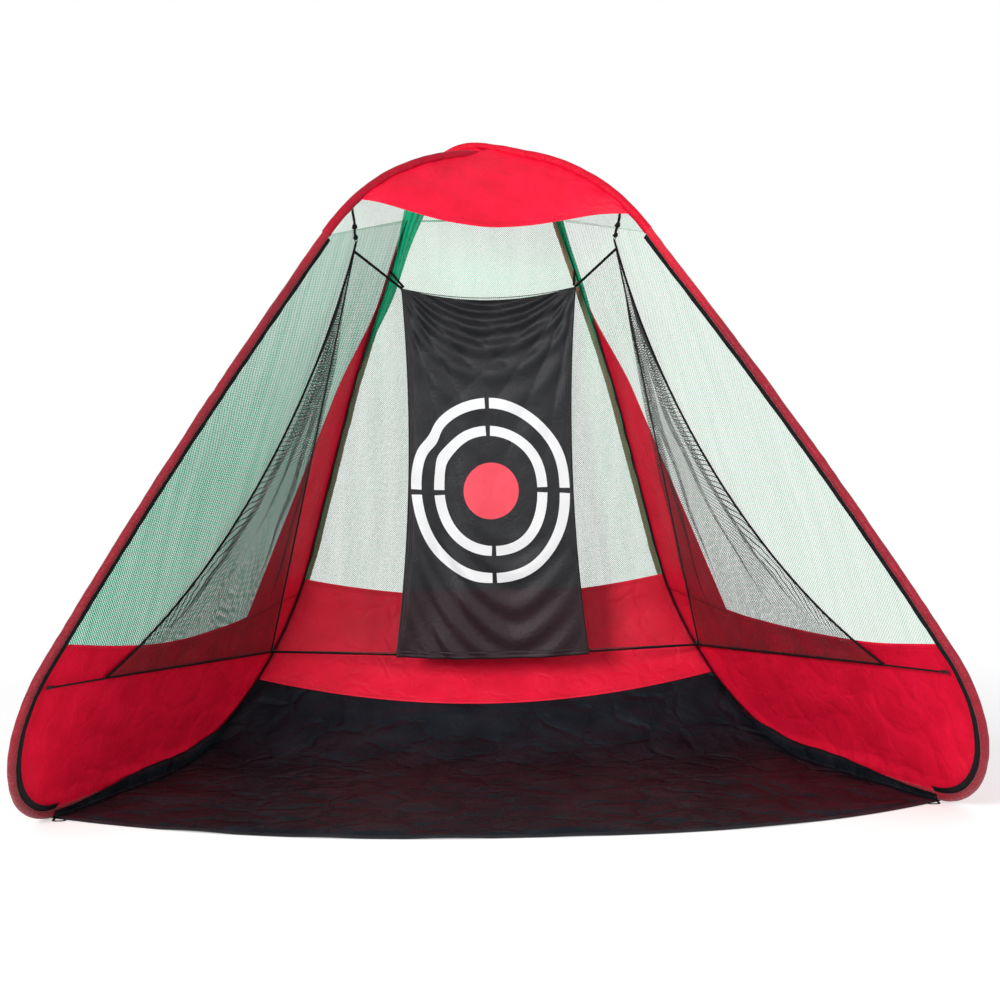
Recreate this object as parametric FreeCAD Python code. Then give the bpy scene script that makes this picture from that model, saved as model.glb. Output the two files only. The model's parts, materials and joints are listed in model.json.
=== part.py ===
"""Pop-up golf chipping net: a crossed spring hoop with netting, skirts, a floor and a hanging target.

Frame: origin on the ground under the middle of the floor, X right, Y back, Z up.
Each side of the hoop lies in one plane, the leaf. A leaf is drawn in its own coordinates:
u runs back along the ground, v up the leaf and w inwards, square to it.
Everything is drawn with y counted from the leaves' front corners, and moved to the origin last.
"""
import FreeCAD
import Part
import math
import os

Vector = FreeCAD.Vector

# Leaf: how the two sides of the hoop stand
half_span = 1680.0          # front corner of each leaf's ground line, from the middle
toe_in = 24.4               # the leaves close in towards the back
lean = 19.0                 # the leaves lean in towards the top
closed_gap_angle = 4.2      # angle left between the leaves when folded
middle_y = 995.0            # from the leaves' front corners back to the origin

# Hoop route on the leaf, as (u, v) corners with the bend radius at each
shoulder = (1603.0, 2179.0)
shoulder_bend = 850.0
front_waist = (730.0, 1142.0)
front_waist_bend = 10100.0
front_corner_bend = 354.0
rear_corner_u = 2111.0
rear_corner_bend = 660.0
rear_waist = (1979.0, 1395.0)
rear_waist_bend = 1700.0
rear_shoulder = (2027.0, 2330.0)
rear_shoulder_bend = 250.0
crown_front_reach = 325.0   # the leaf's own run ends this far below the front shoulder
crown_rear_reach = 340.0    # and this far below the rear shoulder
crown_lifts_low = (27.7, -94.4)     # the crossing's runs are raised by these along the legs,
crown_lifts_high = (-40.0, -32.2)   # at the front and the rear shoulder, so that one passes over the other

# Tubes, tape and cloth
rod_radius = 3.0
sleeve_radius = 13.0
tape_width = 22.0
cloth = 2.0
gap = 0.3
ferrule_radius = 5.5
ferrule_clearance = 0.2
ferrule_length = 60.0
front_run_end_u = 660.0     # the front run's sleeve is sewn to the ground run's here
ground_run_end_u = 1375.0

# Skirts and nets on a leaf
skirt_height = 525.0
skirt_rise = 70.0           # the skirt's top edge is higher at its ends by this
strip_foot = 420.0          # width of the red strip up the rear run, at the skirt
strip_top = 1760.0          # height up the leaf where the strip runs out
net_pitch = 150.0
net_bar = 16.0
net_border = 26.0
side_net_corner_bend = 95.0     # its top rear corner, measured out at the hoop

# Inner net
wing_stand_off = 8.0        # the wings hang this far inside the leaf
wing_top = (1620.0, 1905.0)
wing_waist = (1400.0, 1030.0)
wing_front_foot = (730.0, 455.0)
wing_rear_foot = (1905.0, 357.0)
hem_front = (425.0, 474.0)
binding_radius = 3.0
hook_length = 34.0
hook_width = 12.0
hanger_width = 14.0
hanger_thickness = 1.6
ring_radius = 5.0           # the ring between a hanger and the wing's top corner
ring_wire = 1.4

# Floor, rear skirt and rear net share one profile, bent up at the back
front_edge_y = 190.0        # the floor's front edge at the middle
floor_corner_u = 620.0      # the floor's front corners on the leaves' ground lines
floor_side_gap = 7.5        # the floor stops short of the hoop's centre line by this
rear_bend = 540.0
rear_inset = 24.0           # the rear panel is sewn to the middle of the tape
floor_seam_height = 200.0
rear_skirt_height = 560.0
rear_net_top = 1875.0
crown_net_drop = 60.0       # the crown nets stay this far under the crossing
crown_net_foot = (0.66, 0.9)    # where a side crown net meets the side net's top edge, from the front

# Valance between the front runs
valance_half_width = 385.0
valance_corner_y = 1085.0
valance_corner_z = 1905.0
valance_lower_mid = (1085.0, 1850.0)

# Target sheet, hung from its two top corners
target_y = 1515.0
target_top_z = 1658.0
target_bottom_z = 364.0
target_side_gap = 61.7      # from its top corners out to the leaves
target_waist_share = 0.923  # its waist and its foot against its top
target_foot_share = 1.1
target_folds = 6
target_fold_depth = 9.0
target_hem_height = 24.0
tie_width = 10.0
tie_rise = 60.0             # the ties slope up to the rear runs by this
target_swing = 15.0         # it swings this far forwards, and rests near the net behind it
bull_height = 950.0         # centre of the rings
bull_share = 0.32           # the disc and the rings against half the target's top
inner_ring_share = 0.758
outer_ring_share = 1.065
ring_narrowing = 0.86       # the cloth hangs gathered, so the rings are narrower than they are high
ring_band = 34.0
ring_break = 18.0
back_net_gap = 16.0         # the back net hangs this far behind the target

# Loops for ground pegs at the floor's front corners
loop_length = 62.0          # with the end that is trimmed by the floor's slanting edge
loop_width = 44.0
loop_slot_length = 28.0
loop_slot_width = 14.0
loop_inset = 295.0          # in from the hoop's front corners
loop_y = 570.0

toe = math.radians(toe_in)
tilt = math.radians(lean)
ALONG = Vector(math.sin(toe), math.cos(toe), 0)
UP = Vector(math.sin(tilt) * math.cos(toe), -math.sin(tilt) * math.sin(toe), math.cos(tilt))
INWARD = ALONG.cross(UP)
CORNER = Vector(-half_span, 0, sleeve_radius)
LEAF = FreeCAD.Placement(
    FreeCAD.Matrix(
        ALONG.x, UP.x, INWARD.x, CORNER.x,
        ALONG.y, UP.y, INWARD.y, CORNER.y,
        ALONG.z, UP.z, INWARD.z, CORNER.z,
        0, 0, 0, 1,
    )
)
nodes = {}


def unit(v):
    return v * (1 / v.Length)


def flat(point, w=0.0):
    return Vector(point[0], point[1], w)


def leaf_point(u, v, w=0.0):
    return CORNER + ALONG * u + UP * v + INWARD * w


def mirrored(v):
    return Vector(-v.x, v.y, v.z)


def on_leaf(shape):
    placed = shape.copy()
    placed.Placement = LEAF.multiply(shape.Placement)
    return placed


def other_side(shape):
    return shape.mirror(Vector(0, 0, 0), Vector(1, 0, 0))


def add(name, shape):
    nodes[name] = shape


def add_pair(name, shape):
    """The left piece, and the right one as its mirror image."""
    add("left_" + name, shape)
    add("right_" + name, other_side(shape))


# Routes: straight runs joined by arcs

def rounded(points, radii):
    """Edges along the points, with an arc of its radius at each inner point."""
    edges = []
    start = points[0]
    for corner, before, after, radius in zip(points[1:-1], points, points[2:], radii):
        back = unit(before - corner)
        ahead = unit(after - corner)
        half_turn = (math.pi - back.getAngle(ahead)) / 2
        reach = radius * math.tan(half_turn)
        middle = unit(back + ahead)
        first = corner + back * reach
        last = corner + ahead * reach
        top = corner + middle * (radius / math.cos(half_turn) - radius)
        edges.append(Part.LineSegment(start, first).toShape())
        edges.append(Part.Arc(first, top, last).toShape())
        start = last
    edges.append(Part.LineSegment(start, points[-1]).toShape())
    return edges


def shifted(points, radii, distance, closed=False):
    """The same flat route moved to the left of its way by distance, with its bends parallel."""
    count = len(points)
    runs = [unit(points[(i + 1) % count] - points[i]) for i in range(count)]
    moved = []
    bends = []
    for i, point in enumerate(points):
        if not closed and i in (0, count - 1):
            run = runs[0] if i == 0 else runs[count - 2]
            moved.append(point + Vector(-run.y, run.x, 0) * distance)
            continue
        came = runs[i - 1]
        goes = runs[i]
        side_a = Vector(-came.y, came.x, 0)
        side_b = Vector(-goes.y, goes.x, 0)
        moved.append(point + (side_a + side_b) * (distance / (1 + side_a.dot(side_b))))
        turn_left = came.cross(goes).z > 0
        radius = radii[i] if closed else radii[i - 1]
        bends.append(radius - distance if turn_left else radius + distance)
    return moved, bends


def loop_face(points, radii):
    """A face inside a closed route with rounded corners."""
    seam = (points[-1] + points[0]) * 0.5
    return Part.Face(Part.Wire(rounded([seam] + points + [seam], radii)))


def band(points, radii, near, far):
    """A flat strip that follows the route, from near to far on its left."""
    low = rounded(*shifted(points, radii, near))
    high = rounded(*shifted(points, radii, far))
    ends = []
    for k, parameter in ((0, "FirstParameter"), (-1, "LastParameter")):
        a = low[k].valueAt(getattr(low[k], parameter))
        b = high[k].valueAt(getattr(high[k], parameter))
        ends.append(Part.LineSegment(a, b).toShape())
    return Part.Face(Part.Wire(Part.__sortEdges__(low + high + ends)))


def thick(face, thickness=cloth, w=0.0):
    """A sheet of the given thickness whose middle lies at w."""
    raised = face.copy()
    raised.translate(Vector(0, 0, w - thickness / 2))
    return raised.extrude(Vector(0, 0, thickness))


def tube(edges, radius, bore=0.0):
    """A round tube along the edges: cylinders on the runs and torus pieces at the bends."""
    pieces = []
    for edge in edges:
        start = edge.valueAt(edge.FirstParameter)
        end = edge.valueAt(edge.LastParameter)
        way = edge.tangentAt(edge.FirstParameter)
        section = Part.Face(Part.Wire(Part.makeCircle(radius, start, way)))
        if bore:
            hole = Part.Face(Part.Wire(Part.makeCircle(bore, start, way)))
            section = section.cut(hole).Faces[0]
        if isinstance(edge.Curve, Part.Circle):
            swept = math.degrees(edge.LastParameter - edge.FirstParameter)
            pieces.append(section.revolve(edge.Curve.Center, edge.Curve.Axis, swept))
        else:
            pieces.append(section.extrude(end - start))
    if len(pieces) == 1:
        return pieces[0]
    return pieces[0].multiFuse(pieces[1:]).removeSplitter()


def bar(start, end, radius):
    return tube([Part.LineSegment(start, end).toShape()], radius)


def strap(start, end, width, thickness, across):
    """A flat strap from start to end, its width as near to across as it can lie."""
    way = unit(end - start)
    side = unit(across - way * across.dot(way))
    face_way = way.cross(side)
    corners = [
        start + side * (width / 2 * a) + face_way * (thickness / 2 * b)
        for a, b in ((-1, -1), (1, -1), (1, 1), (-1, 1), (-1, -1))
    ]
    return Part.Face(Part.makePolygon(corners)).extrude(end - start)


def netting(face):
    """The face with a grid of square meshes, a border left whole all round."""
    box = face.BoundBox
    side = net_pitch - net_bar
    wires = [face.OuterWire]
    rim = face.OuterWire
    for i in range(int(box.XLength / net_pitch) + 1):
        for j in range(int(box.YLength / net_pitch) + 1):
            x = box.XMin + i * net_pitch + net_bar
            y = box.YMin + j * net_pitch + net_bar
            ring = [Vector(x + a * side, y + b * side, 0) for a, b in SQUARE]
            if not all(face.isInside(p, 0.01, True) for p in ring):
                continue
            mesh = Part.makePolygon(ring)
            if mesh.distToShape(rim)[0] > net_border - net_bar:
                wires.append(mesh)
    return Part.makeFace(wires, "Part::FaceMakerBullseye")


SQUARE = ((0, 0), (1, 0), (1, 1), (0, 1), (0, 0))


# The hoop

def towards(point, other, distance):
    a = flat(point)
    return a + unit(flat(other) - a) * distance


hoop_top_front = towards(shoulder, front_waist, crown_front_reach)
hoop_top_rear = towards(rear_shoulder, rear_waist, crown_rear_reach)
front_corner = Vector(0, 0, 0)
rear_corner = Vector(rear_corner_u, 0, 0)
hoop_points = [hoop_top_front, flat(front_waist), front_corner, rear_corner, flat(rear_waist), hoop_top_rear]
hoop_bends = [front_waist_bend, front_corner_bend, rear_corner_bend, rear_waist_bend]
hoop_corners = [flat(shoulder)] + hoop_points[1:-1] + [flat(rear_shoulder)]
hoop_corner_bends = [shoulder_bend] + hoop_bends + [side_net_corner_bend]
front_seam = Vector(front_run_end_u, 0, 0)
rear_seam = Vector(ground_run_end_u, 0, 0)
sleeve_bore = ferrule_radius + gap      # the sleeve is lined with foam, and the ferrule just fits it


def leaf_hoop():
    """The rod, its ferrule, the three sleeve runs and the binding tape of one leaf."""
    add_pair("hoop_rod", on_leaf(tube(rounded(hoop_points, hoop_bends), rod_radius)))
    middle_u = (front_run_end_u + ground_run_end_u) / 2
    ferrule = [Vector(middle_u + s * ferrule_length / 2, 0, 0) for s in (-1, 1)]
    bore = rod_radius + ferrule_clearance
    ferrule_edge = [Part.LineSegment(*ferrule).toShape()]
    add_pair("rod_ferrule", on_leaf(tube(ferrule_edge, ferrule_radius, bore)))
    front = rounded(hoop_points[:3] + [front_seam], hoop_bends[:2])
    add_pair("front_sleeve", on_leaf(tube(front, sleeve_radius, sleeve_bore)))
    ground = [Part.LineSegment(front_seam, rear_seam).toShape()]
    add_pair("ground_sleeve", on_leaf(tube(ground, sleeve_radius, sleeve_bore)))
    rear = rounded([rear_seam] + hoop_points[3:], hoop_bends[2:])
    add_pair("rear_sleeve", on_leaf(tube(rear, sleeve_radius, sleeve_bore)))
    tape = band(hoop_points, hoop_bends, sleeve_radius, sleeve_radius + tape_width)
    add_pair("binding_tape", on_leaf(thick(tape)))


def crown_route(lifts):
    """A run over the top, from the left front leg to the right rear leg."""
    front_up = unit(flat(shoulder) - flat(front_waist))
    rear_up = unit(flat(rear_shoulder) - flat(rear_waist))
    start = hoop_top_front + front_up * gap
    near = flat(shoulder) + front_up * lifts[0]
    far = flat(rear_shoulder) + rear_up * lifts[1]
    end = hoop_top_rear + rear_up * gap
    points = [leaf_point(*p) for p in (start, near)] + [mirrored(leaf_point(*p)) for p in (far, end)]
    return rounded(points, [shoulder_bend, rear_shoulder_bend])


def crown():
    """Two crossed runs over the top, the right front one above the left front one."""
    low = crown_route(crown_lifts_low)
    high = crown_route(crown_lifts_high)
    add("crown_rod_low", tube(low, rod_radius))
    add("crown_rod_high", other_side(tube(high, rod_radius)))
    add("crown_sleeve_low", tube(low, sleeve_radius, sleeve_bore))
    add("crown_sleeve_high", other_side(tube(high, sleeve_radius, sleeve_bore)))
    return low, high


# Cloth and netting on a leaf

def leaf_inside(inset):
    """The face inside the hoop, inset from its centre line."""
    moved, radii = shifted(hoop_corners, hoop_corner_bends, inset, closed=True)
    return loop_face(moved, radii)


def polygon(points):
    return Part.Face(Part.makePolygon([flat(p) for p in points] + [flat(points[0])]))


def leaf_sheets():
    """The side skirt, the red strip up the rear run and the side net."""
    inside = leaf_inside(sleeve_radius + tape_width)
    far = 2 * rear_corner_u
    edge = Part.Arc(
        Vector(0, skirt_height + skirt_rise, 0),
        Vector(rear_corner_u / 2, skirt_height, 0),
        Vector(rear_corner_u, skirt_height + skirt_rise, 0),
    ).toShape()
    around = Part.makePolygon(
        [
            Vector(rear_corner_u, skirt_height + skirt_rise, 0),
            Vector(far, skirt_height + skirt_rise, 0),
            Vector(far, -far, 0),
            Vector(-far, -far, 0),
            Vector(-far, skirt_height + skirt_rise, 0),
            Vector(0, skirt_height + skirt_rise, 0),
        ]
    )
    low = Part.Face(Part.Wire(Part.__sortEdges__([edge] + around.Edges)))
    foot_u = rear_corner_u - strip_foot
    top_u = rear_waist[0]
    slope = (top_u - foot_u) / (strip_top - skirt_height)
    strip_side = polygon(
        [(foot_u - slope * far, skirt_height - far), (far, skirt_height - far), (far, strip_top), (top_u, strip_top)]
    )
    skirt = inside.common(low).Faces[0]
    upper = inside.cut(low)
    strip = max(upper.common(strip_side).Faces, key=lambda f: f.Area)
    net = max(upper.cut(strip_side).Faces, key=lambda f: f.Area)
    add_pair("side_skirt", on_leaf(thick(skirt)))
    add_pair("rear_strip", on_leaf(thick(strip)))
    add_pair("side_net", on_leaf(thick(netting(net))))


def wing():
    """The inner net's wing, its bound edges, and the elastic and hook at its low front corner."""
    w = wing_stand_off
    top, waist, foot, heel = (flat(p) for p in (wing_top, wing_waist, wing_front_foot, wing_rear_foot))
    front_edge = Part.Arc(foot, waist, top).toShape()
    sides = [Part.LineSegment(top, heel).toShape(), Part.LineSegment(heel, foot).toShape()]
    face = Part.Face(Part.Wire(Part.__sortEdges__([front_edge] + sides)))
    add_pair("wing_net", on_leaf(thick(netting(face), cloth, w)))
    clear = binding_radius + gap
    radius = front_edge.Curve.Radius
    centre = front_edge.Curve.Center
    edge_points = [centre + (p - centre) * ((radius - clear) / radius) for p in (foot, waist, top)]
    cord = Part.Arc(*[p + Vector(0, 0, w) for p in edge_points]).toShape()
    add_pair("wing_front_cord", on_leaf(tube([cord], binding_radius)))
    way = unit(heel - foot)
    hem_down = Vector(way.y, -way.x, 0) * (clear + gap) + Vector(0, 0, w)
    add_pair("wing_hem_cord", on_leaf(bar(foot + hem_down, heel + hem_down, binding_radius)))
    elastic_start = flat(hem_front) + Vector(0, 0, w)
    elastic_end = foot + hem_down - Vector(2 * gap, 0, 0)
    add_pair("hem_elastic", on_leaf(bar(elastic_start, elastic_end, binding_radius)))
    add_pair("hem_hook", on_leaf(hem_hook(elastic_start)))


def hem_hook(eye):
    """A moulded hook, open on its lower side, that grips the tape and holds the elastic."""
    half = hook_width / 2
    base = cloth / 2 + gap
    body = polygon([(-hook_length, -half), (-2 * gap, -half), (-2 * gap, half), (-hook_length, half)])
    slot = polygon([(-hook_length * 0.8, -half * 2), (-hook_length * 0.55, -half * 2),
                    (-hook_length * 0.55, half * 0.3), (-hook_length * 0.8, half * 0.3)])
    plate = body.cut(slot).Faces[0].extrude(Vector(0, 0, wing_stand_off - base - gap))
    plate.translate(Vector(eye.x, eye.y, base))
    return plate


def hanger(route):
    """The strap from the front run down to the wing's top corner, and the ring it ends in."""
    corner = leaf_point(wing_top[0], wing_top[1], wing_stand_off)
    near = Part.Wire(route).distToShape(Part.Vertex(corner))[1][0][0]
    way = unit(near - corner)
    reach = ring_radius + ring_wire + gap
    centre = corner + way * (reach + binding_radius / 2)
    end = near - way * (sleeve_radius + 2 * gap)
    band_shape = strap(centre + way * reach, end, hanger_width, hanger_thickness, ALONG)
    across = unit(ALONG - way * way.dot(ALONG))
    return band_shape, Part.makeTorus(ring_radius, ring_wire, centre, across)


def hanger_pair(low, high):
    """Each hanger follows its own side's front run, which lie at two heights."""
    band_shape, ring = hanger(low)
    add("left_hanger_strap", band_shape)
    add("left_hanger_ring", ring)
    band_shape, ring = hanger(high)
    add("right_hanger_strap", other_side(band_shape))
    add("right_hanger_ring", other_side(ring))


# Middle goods: one profile along the ground, up the rear skirt and the rear net

def rear_line():
    """Where the rear run's tape lies, seen from the side, as (y, z) points from the ground up."""
    inner, _ = shifted(hoop_points, hoop_bends, rear_inset)
    foot, waist, top = (leaf_point(p.x, p.y) for p in inner[3:])
    slope = (waist.y - foot.y) / (waist.z - foot.z)
    ground_z = cloth / 2
    return [
        Vector(0, foot.y + slope * (ground_z - foot.z), ground_z),
        Vector(0, waist.y, waist.z),
        Vector(0, top.y, top.z),
    ]


def side_wall(stand_off, w):
    """The wedge between the two leaves, short of each by w, and of the ground lines by stand_off."""
    reach = 4 * half_span
    wall = Part.Face(
        Part.makePolygon([leaf_point(u, v, w) for u, v in
                          ((-reach, -reach), (reach, -reach), (reach, reach), (-reach, reach), (-reach, -reach))])
    )
    slab = wall.extrude(INWARD * -reach)
    square_in = Vector(ALONG.y, -ALONG.x, 0)
    ground = Part.Face(
        Part.makePolygon([CORNER + square_in * stand_off + ALONG * a + Vector(0, 0, b) for a, b in
                          ((-reach, -reach), (reach, -reach), (reach, reach), (-reach, reach), (-reach, -reach))])
    ).extrude(square_in * -reach)
    return slab.fuse([ground])


def floor_plan():
    """The floor seen from above, with its front edge bowed forwards."""
    corner = leaf_point(floor_corner_u, 0)
    corner.z = -cloth
    middle = Vector(0, front_edge_y, -cloth)
    front = Part.Arc(corner, middle, mirrored(corner)).toShape()
    back = 2 * rear_corner_u
    rest = Part.makePolygon(
        [mirrored(corner), Vector(half_span, corner.y, -cloth), Vector(half_span, back, -cloth),
         Vector(-half_span, back, -cloth), Vector(-half_span, corner.y, -cloth), corner]
    )
    return Part.Face(Part.Wire(Part.__sortEdges__([front] + rest.Edges))).extrude(Vector(0, 0, 2 * rear_net_top))


def rear_profile():
    """The whole middle sheet: floor, bend, rear skirt and rear net, before it is trimmed."""
    ground, waist, top = rear_line()
    start = Vector(0, 0, ground.z)
    points = [Vector(p.y, p.z, 0) for p in (start, ground, waist, top)]
    face = band(points, [rear_bend, rear_waist_bend], -cloth / 2, cloth / 2)
    sheet = face.extrude(Vector(0, 0, 2 * half_span))
    sheet.Placement = FreeCAD.Placement(
        FreeCAD.Matrix(0, 0, 1, -half_span, 1, 0, 0, 0, 0, 1, 0, 0, 0, 0, 0, 1)
    )
    return sheet


def slice_between(shape, low, high):
    reach = 4 * half_span
    return shape.common(Part.makeBox(2 * reach, 2 * reach, high - low, Vector(-reach, -reach, low)))


def biggest(shape):
    return max(shape.Solids, key=lambda s: s.Volume)


def middle_sheets():
    """The floor, the rear skirt and the rear net."""
    wall = side_wall(floor_side_gap, cloth / 2 + gap)
    clear_tube = on_leaf(tube(rounded(hoop_points, hoop_bends), sleeve_radius + gap))
    sheet = rear_profile().cut(wall).cut(other_side(wall))
    sheet = sheet.cut(clear_tube).cut(other_side(clear_tube))
    sheet = biggest(sheet.common(floor_plan()))
    add("floor_sheet", biggest(slice_between(sheet, -cloth, floor_seam_height)))
    add("rear_skirt", biggest(slice_between(sheet, floor_seam_height, rear_skirt_height)))
    net = biggest(slice_between(sheet, rear_skirt_height, rear_net_top))
    add("rear_net", pierced(net))


def pierced(sheet):
    """A sheet that faces the front, with a grid of square meshes cut through it."""
    box = sheet.BoundBox
    side = net_pitch - net_bar
    columns = int(box.XLength / 2 / net_pitch) + 1
    rows = int((box.ZLength - 2 * net_border) / net_pitch)
    foot = box.ZMin + (box.ZLength - rows * net_pitch + net_bar) / 2
    shell = max(sheet.Faces, key=lambda f: f.Area)
    cutters = []
    for row in range(rows):
        z = foot + row * net_pitch
        for column in range(-columns, columns):
            x = column * net_pitch + net_bar / 2
            tool = Part.makeBox(side, box.YLength + 2 * net_border, side, Vector(x, box.YMin - net_border, z))
            kept = tool.common(sheet)
            if kept.Volume < 0.985 * side * side * cloth:
                continue
            if tool.distToShape(Part.Compound(rim_edges(sheet, shell)))[0] > net_border - net_bar:
                cutters.append(tool)
    return biggest(sheet.cut(cutters))


def rim_edges(sheet, shell):
    """The edges of a thin sheet that are as short as its thickness, or border its biggest faces."""
    ends = [e for e in sheet.Edges if abs(e.Length - cloth) < cloth / 2]
    return ends if ends else shell.Edges


def triangle(points):
    """A thin sheet with three corners, its thickness above them."""
    face = Part.Face(Part.makePolygon(points + points[:1]))
    normal = face.normalAt(0, 0)
    return face.extrude(normal * (cloth if normal.z > 0 else -cloth))


def leaf_x(y, z, w):
    """How far to the left the plane w inside the leaf lies at a depth and height."""
    away = w - INWARD.y * (y - CORNER.y) - INWARD.z * (z - CORNER.z)
    return CORNER.x + away / INWARD.x


def crown_nets(low):
    """Three small nets that close the top under the crossing."""
    apex = crossing(low) - Vector(0, 0, sleeve_radius + crown_net_drop)
    _, waist, top = rear_line()
    z = rear_net_top + gap
    y = waist.y + (top.y - waist.y) * (z - waist.z) / (top.z - waist.z)
    left = Vector(leaf_x(y, z, 2 * cloth), y, z)
    add("crown_net_rear", triangle([left, mirrored(left), apex]))
    inset = sleeve_radius + tape_width + net_border
    corners, _ = shifted(hoop_corners, hoop_corner_bends, inset, closed=True)
    start, end = corners[0], corners[-1]
    w = Vector(0, 0, cloth / 2 + 2 * gap)
    front, back = (LEAF.multVec(start + (end - start) * share + w) for share in crown_net_foot)
    side = triangle([front, back, apex - Vector(2 * cloth, 0, 0)])
    add("crown_net_left", side)
    add("crown_net_right", other_side(side))


def crossing(route):
    """The point of a crown run over the middle of the net."""
    middle = Part.Face(
        Part.makePolygon([Vector(0, a * half_span * 2, b * half_span * 2) for a, b in
                          ((-1, -1), (2, -1), (2, 2), (-1, 2), (-1, -1))])
    )
    return Part.Wire(route).distToShape(middle)[1][0][0]


def valance(low, high):
    """The red band across the top of the mouth, from the crown sleeves down to its free lower edge."""
    left = Vector(-valance_half_width, valance_corner_y, valance_corner_z)
    end = Part.Wire(low).distToShape(Part.Vertex(left))[1][0][0]
    upper = Part.Arc(end, crossing(low), mirrored(end))
    lower = Part.Arc(left, Vector(0, *valance_lower_mid), mirrored(left))
    sheet = Part.makeRuledSurface(upper.toShape(), lower.toShape())
    sheet = biggest_solid(sheet.extrude(Vector(0, -cloth * 0.64, cloth * 0.77)))
    sleeves = [tube(low, sleeve_radius + gap), other_side(tube(high, sleeve_radius + gap))]
    sleeves += [on_leaf(tube(rounded(hoop_points, hoop_bends), sleeve_radius + gap))]
    wall = side_wall(floor_side_gap, cloth / 2 + gap)
    sheet = sheet.cut(sleeves + [other_side(sleeves[-1]), wall, other_side(wall)])
    add("valance", biggest(sheet))


def biggest_solid(shape):
    return shape.Solids[0] if shape.Solids else Part.Solid(Part.Shell(shape.Faces))


# Target and back net

def target_half(share=1.0):
    """Half the target's width at its top, clear of the leaves by the side gap, or a share of that."""
    return (-leaf_x(target_y, target_top_z, 0) - target_side_gap) * share


def target_section(half_width, depth, z):
    """A closed outline across the sheet at one height: shallow folds, front and back alike."""
    y = target_y
    step = 2 * half_width / target_folds
    rows = []
    for face_y in (y - cloth / 2, y + cloth / 2):
        row = []
        for k in range(target_folds):
            a = Vector(-half_width + k * step, face_y, z)
            b = a + Vector(step, 0, 0)
            m = (a + b) * 0.5 + Vector(0, depth * (1 if k % 2 else -1), 0)
            row.append(Part.Arc(a, m, b).toShape())
        rows.append(row)
    ends = [
        Part.LineSegment(Vector(s * half_width, y - cloth / 2, z), Vector(s * half_width, y + cloth / 2, z)).toShape()
        for s in (-1, 1)
    ]
    return Part.Wire(Part.__sortEdges__(rows[0] + rows[1] + ends))


def target():
    """The hanging sheet with its hem, and the rings and disc let into it."""
    waist_z = (target_top_z + target_bottom_z) / 2
    sections = [
        target_section(target_half(), target_fold_depth * 0.5, target_top_z),
        target_section(target_half(target_waist_share), target_fold_depth, waist_z),
        target_section(target_half(target_foot_share), target_fold_depth * 0.8, target_bottom_z),
    ]
    sheet = Part.makeLoft(sections, True, True)
    prisms = ring_prisms()
    rings = [sheet.common(p) for p in prisms["rings"]]
    disc = sheet.common(prisms["disc"])
    plain = sheet.cut(prisms["rings"] + [prisms["disc"]])
    hem_line = target_bottom_z + target_hem_height
    add("target_sheet", Part.Compound(slice_between(plain, hem_line, 2 * target_top_z).Solids))
    add("target_hem", biggest(slice_between(plain, 0, hem_line)))
    add("target_rings", Part.Compound([s for r in rings for s in r.Solids]))
    add("target_disc", biggest(disc))


def ring_prisms():
    """Ring segments and the disc as prisms that run front to back through the sheet."""
    deep = Vector(0, 4 * target_fold_depth, 0)
    centre = Vector(0, target_y, bull_height) - deep * 0.5

    def round_face(high, wide):
        edge = Part.Ellipse(centre + Vector(0, 0, high), centre + Vector(wide, 0, 0), centre)
        return Part.Face(Part.Wire(edge.toShape()))

    reach = 3 * target_half(outer_ring_share)
    breaks = []
    for wide, high in ((ring_break, reach), (reach, ring_break)):
        a = centre + Vector(-wide / 2, 0, -high / 2)
        corners = [a + Vector(wide * s, 0, high * t) for s, t in SQUARE]
        breaks.append(Part.Face(Part.makePolygon(corners)))
    rings = []
    for share in (inner_ring_share, outer_ring_share):
        high = target_half(share)
        wide = high * ring_narrowing
        ring = round_face(high, wide).cut(round_face(high - ring_band, wide - ring_band)).cut(breaks)
        rings += [f.extrude(deep) for f in ring.Faces]
    disc = target_half(bull_share)
    return {"rings": rings, "disc": round_face(disc + 2, disc - 1).extrude(deep)}


def back_net():
    """The inner net's back part: a side panel from each wing to the target, and one behind it."""
    behind = Vector(0, back_net_gap, 0)
    top_in = Vector(-target_half(), target_y, target_top_z) + behind
    foot_in = Vector(-target_half(target_foot_share), target_y, target_bottom_z) + behind
    clear = wing_stand_off + cloth + gap
    top_out = leaf_point(wing_top[0], wing_top[1] - net_border, clear)
    foot_out = leaf_point(wing_rear_foot[0] - net_border, wing_rear_foot[1] + net_border, clear)
    seam = Part.LineSegment(foot_out, top_out).toShape()
    edge = Part.LineSegment(foot_in, top_in).toShape()
    panel = biggest_solid(Part.makeRuledSurface(seam, edge).extrude(Vector(0, cloth, 0)))
    side = pierced_panel(panel, (foot_out, foot_in, top_in, top_out))
    add("back_net_left", side)
    add("back_net_right", other_side(side))
    inset = Vector(gap, 0, 0)
    corners = [foot_in + inset, mirrored(foot_in) - inset, mirrored(top_in) - inset, top_in + inset]
    middle = Part.Face(Part.makePolygon(corners + corners[:1])).extrude(Vector(0, cloth, 0))
    add("back_net_middle", pierced_panel(middle, corners))
    return top_in, top_out, foot_in, foot_out


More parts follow.
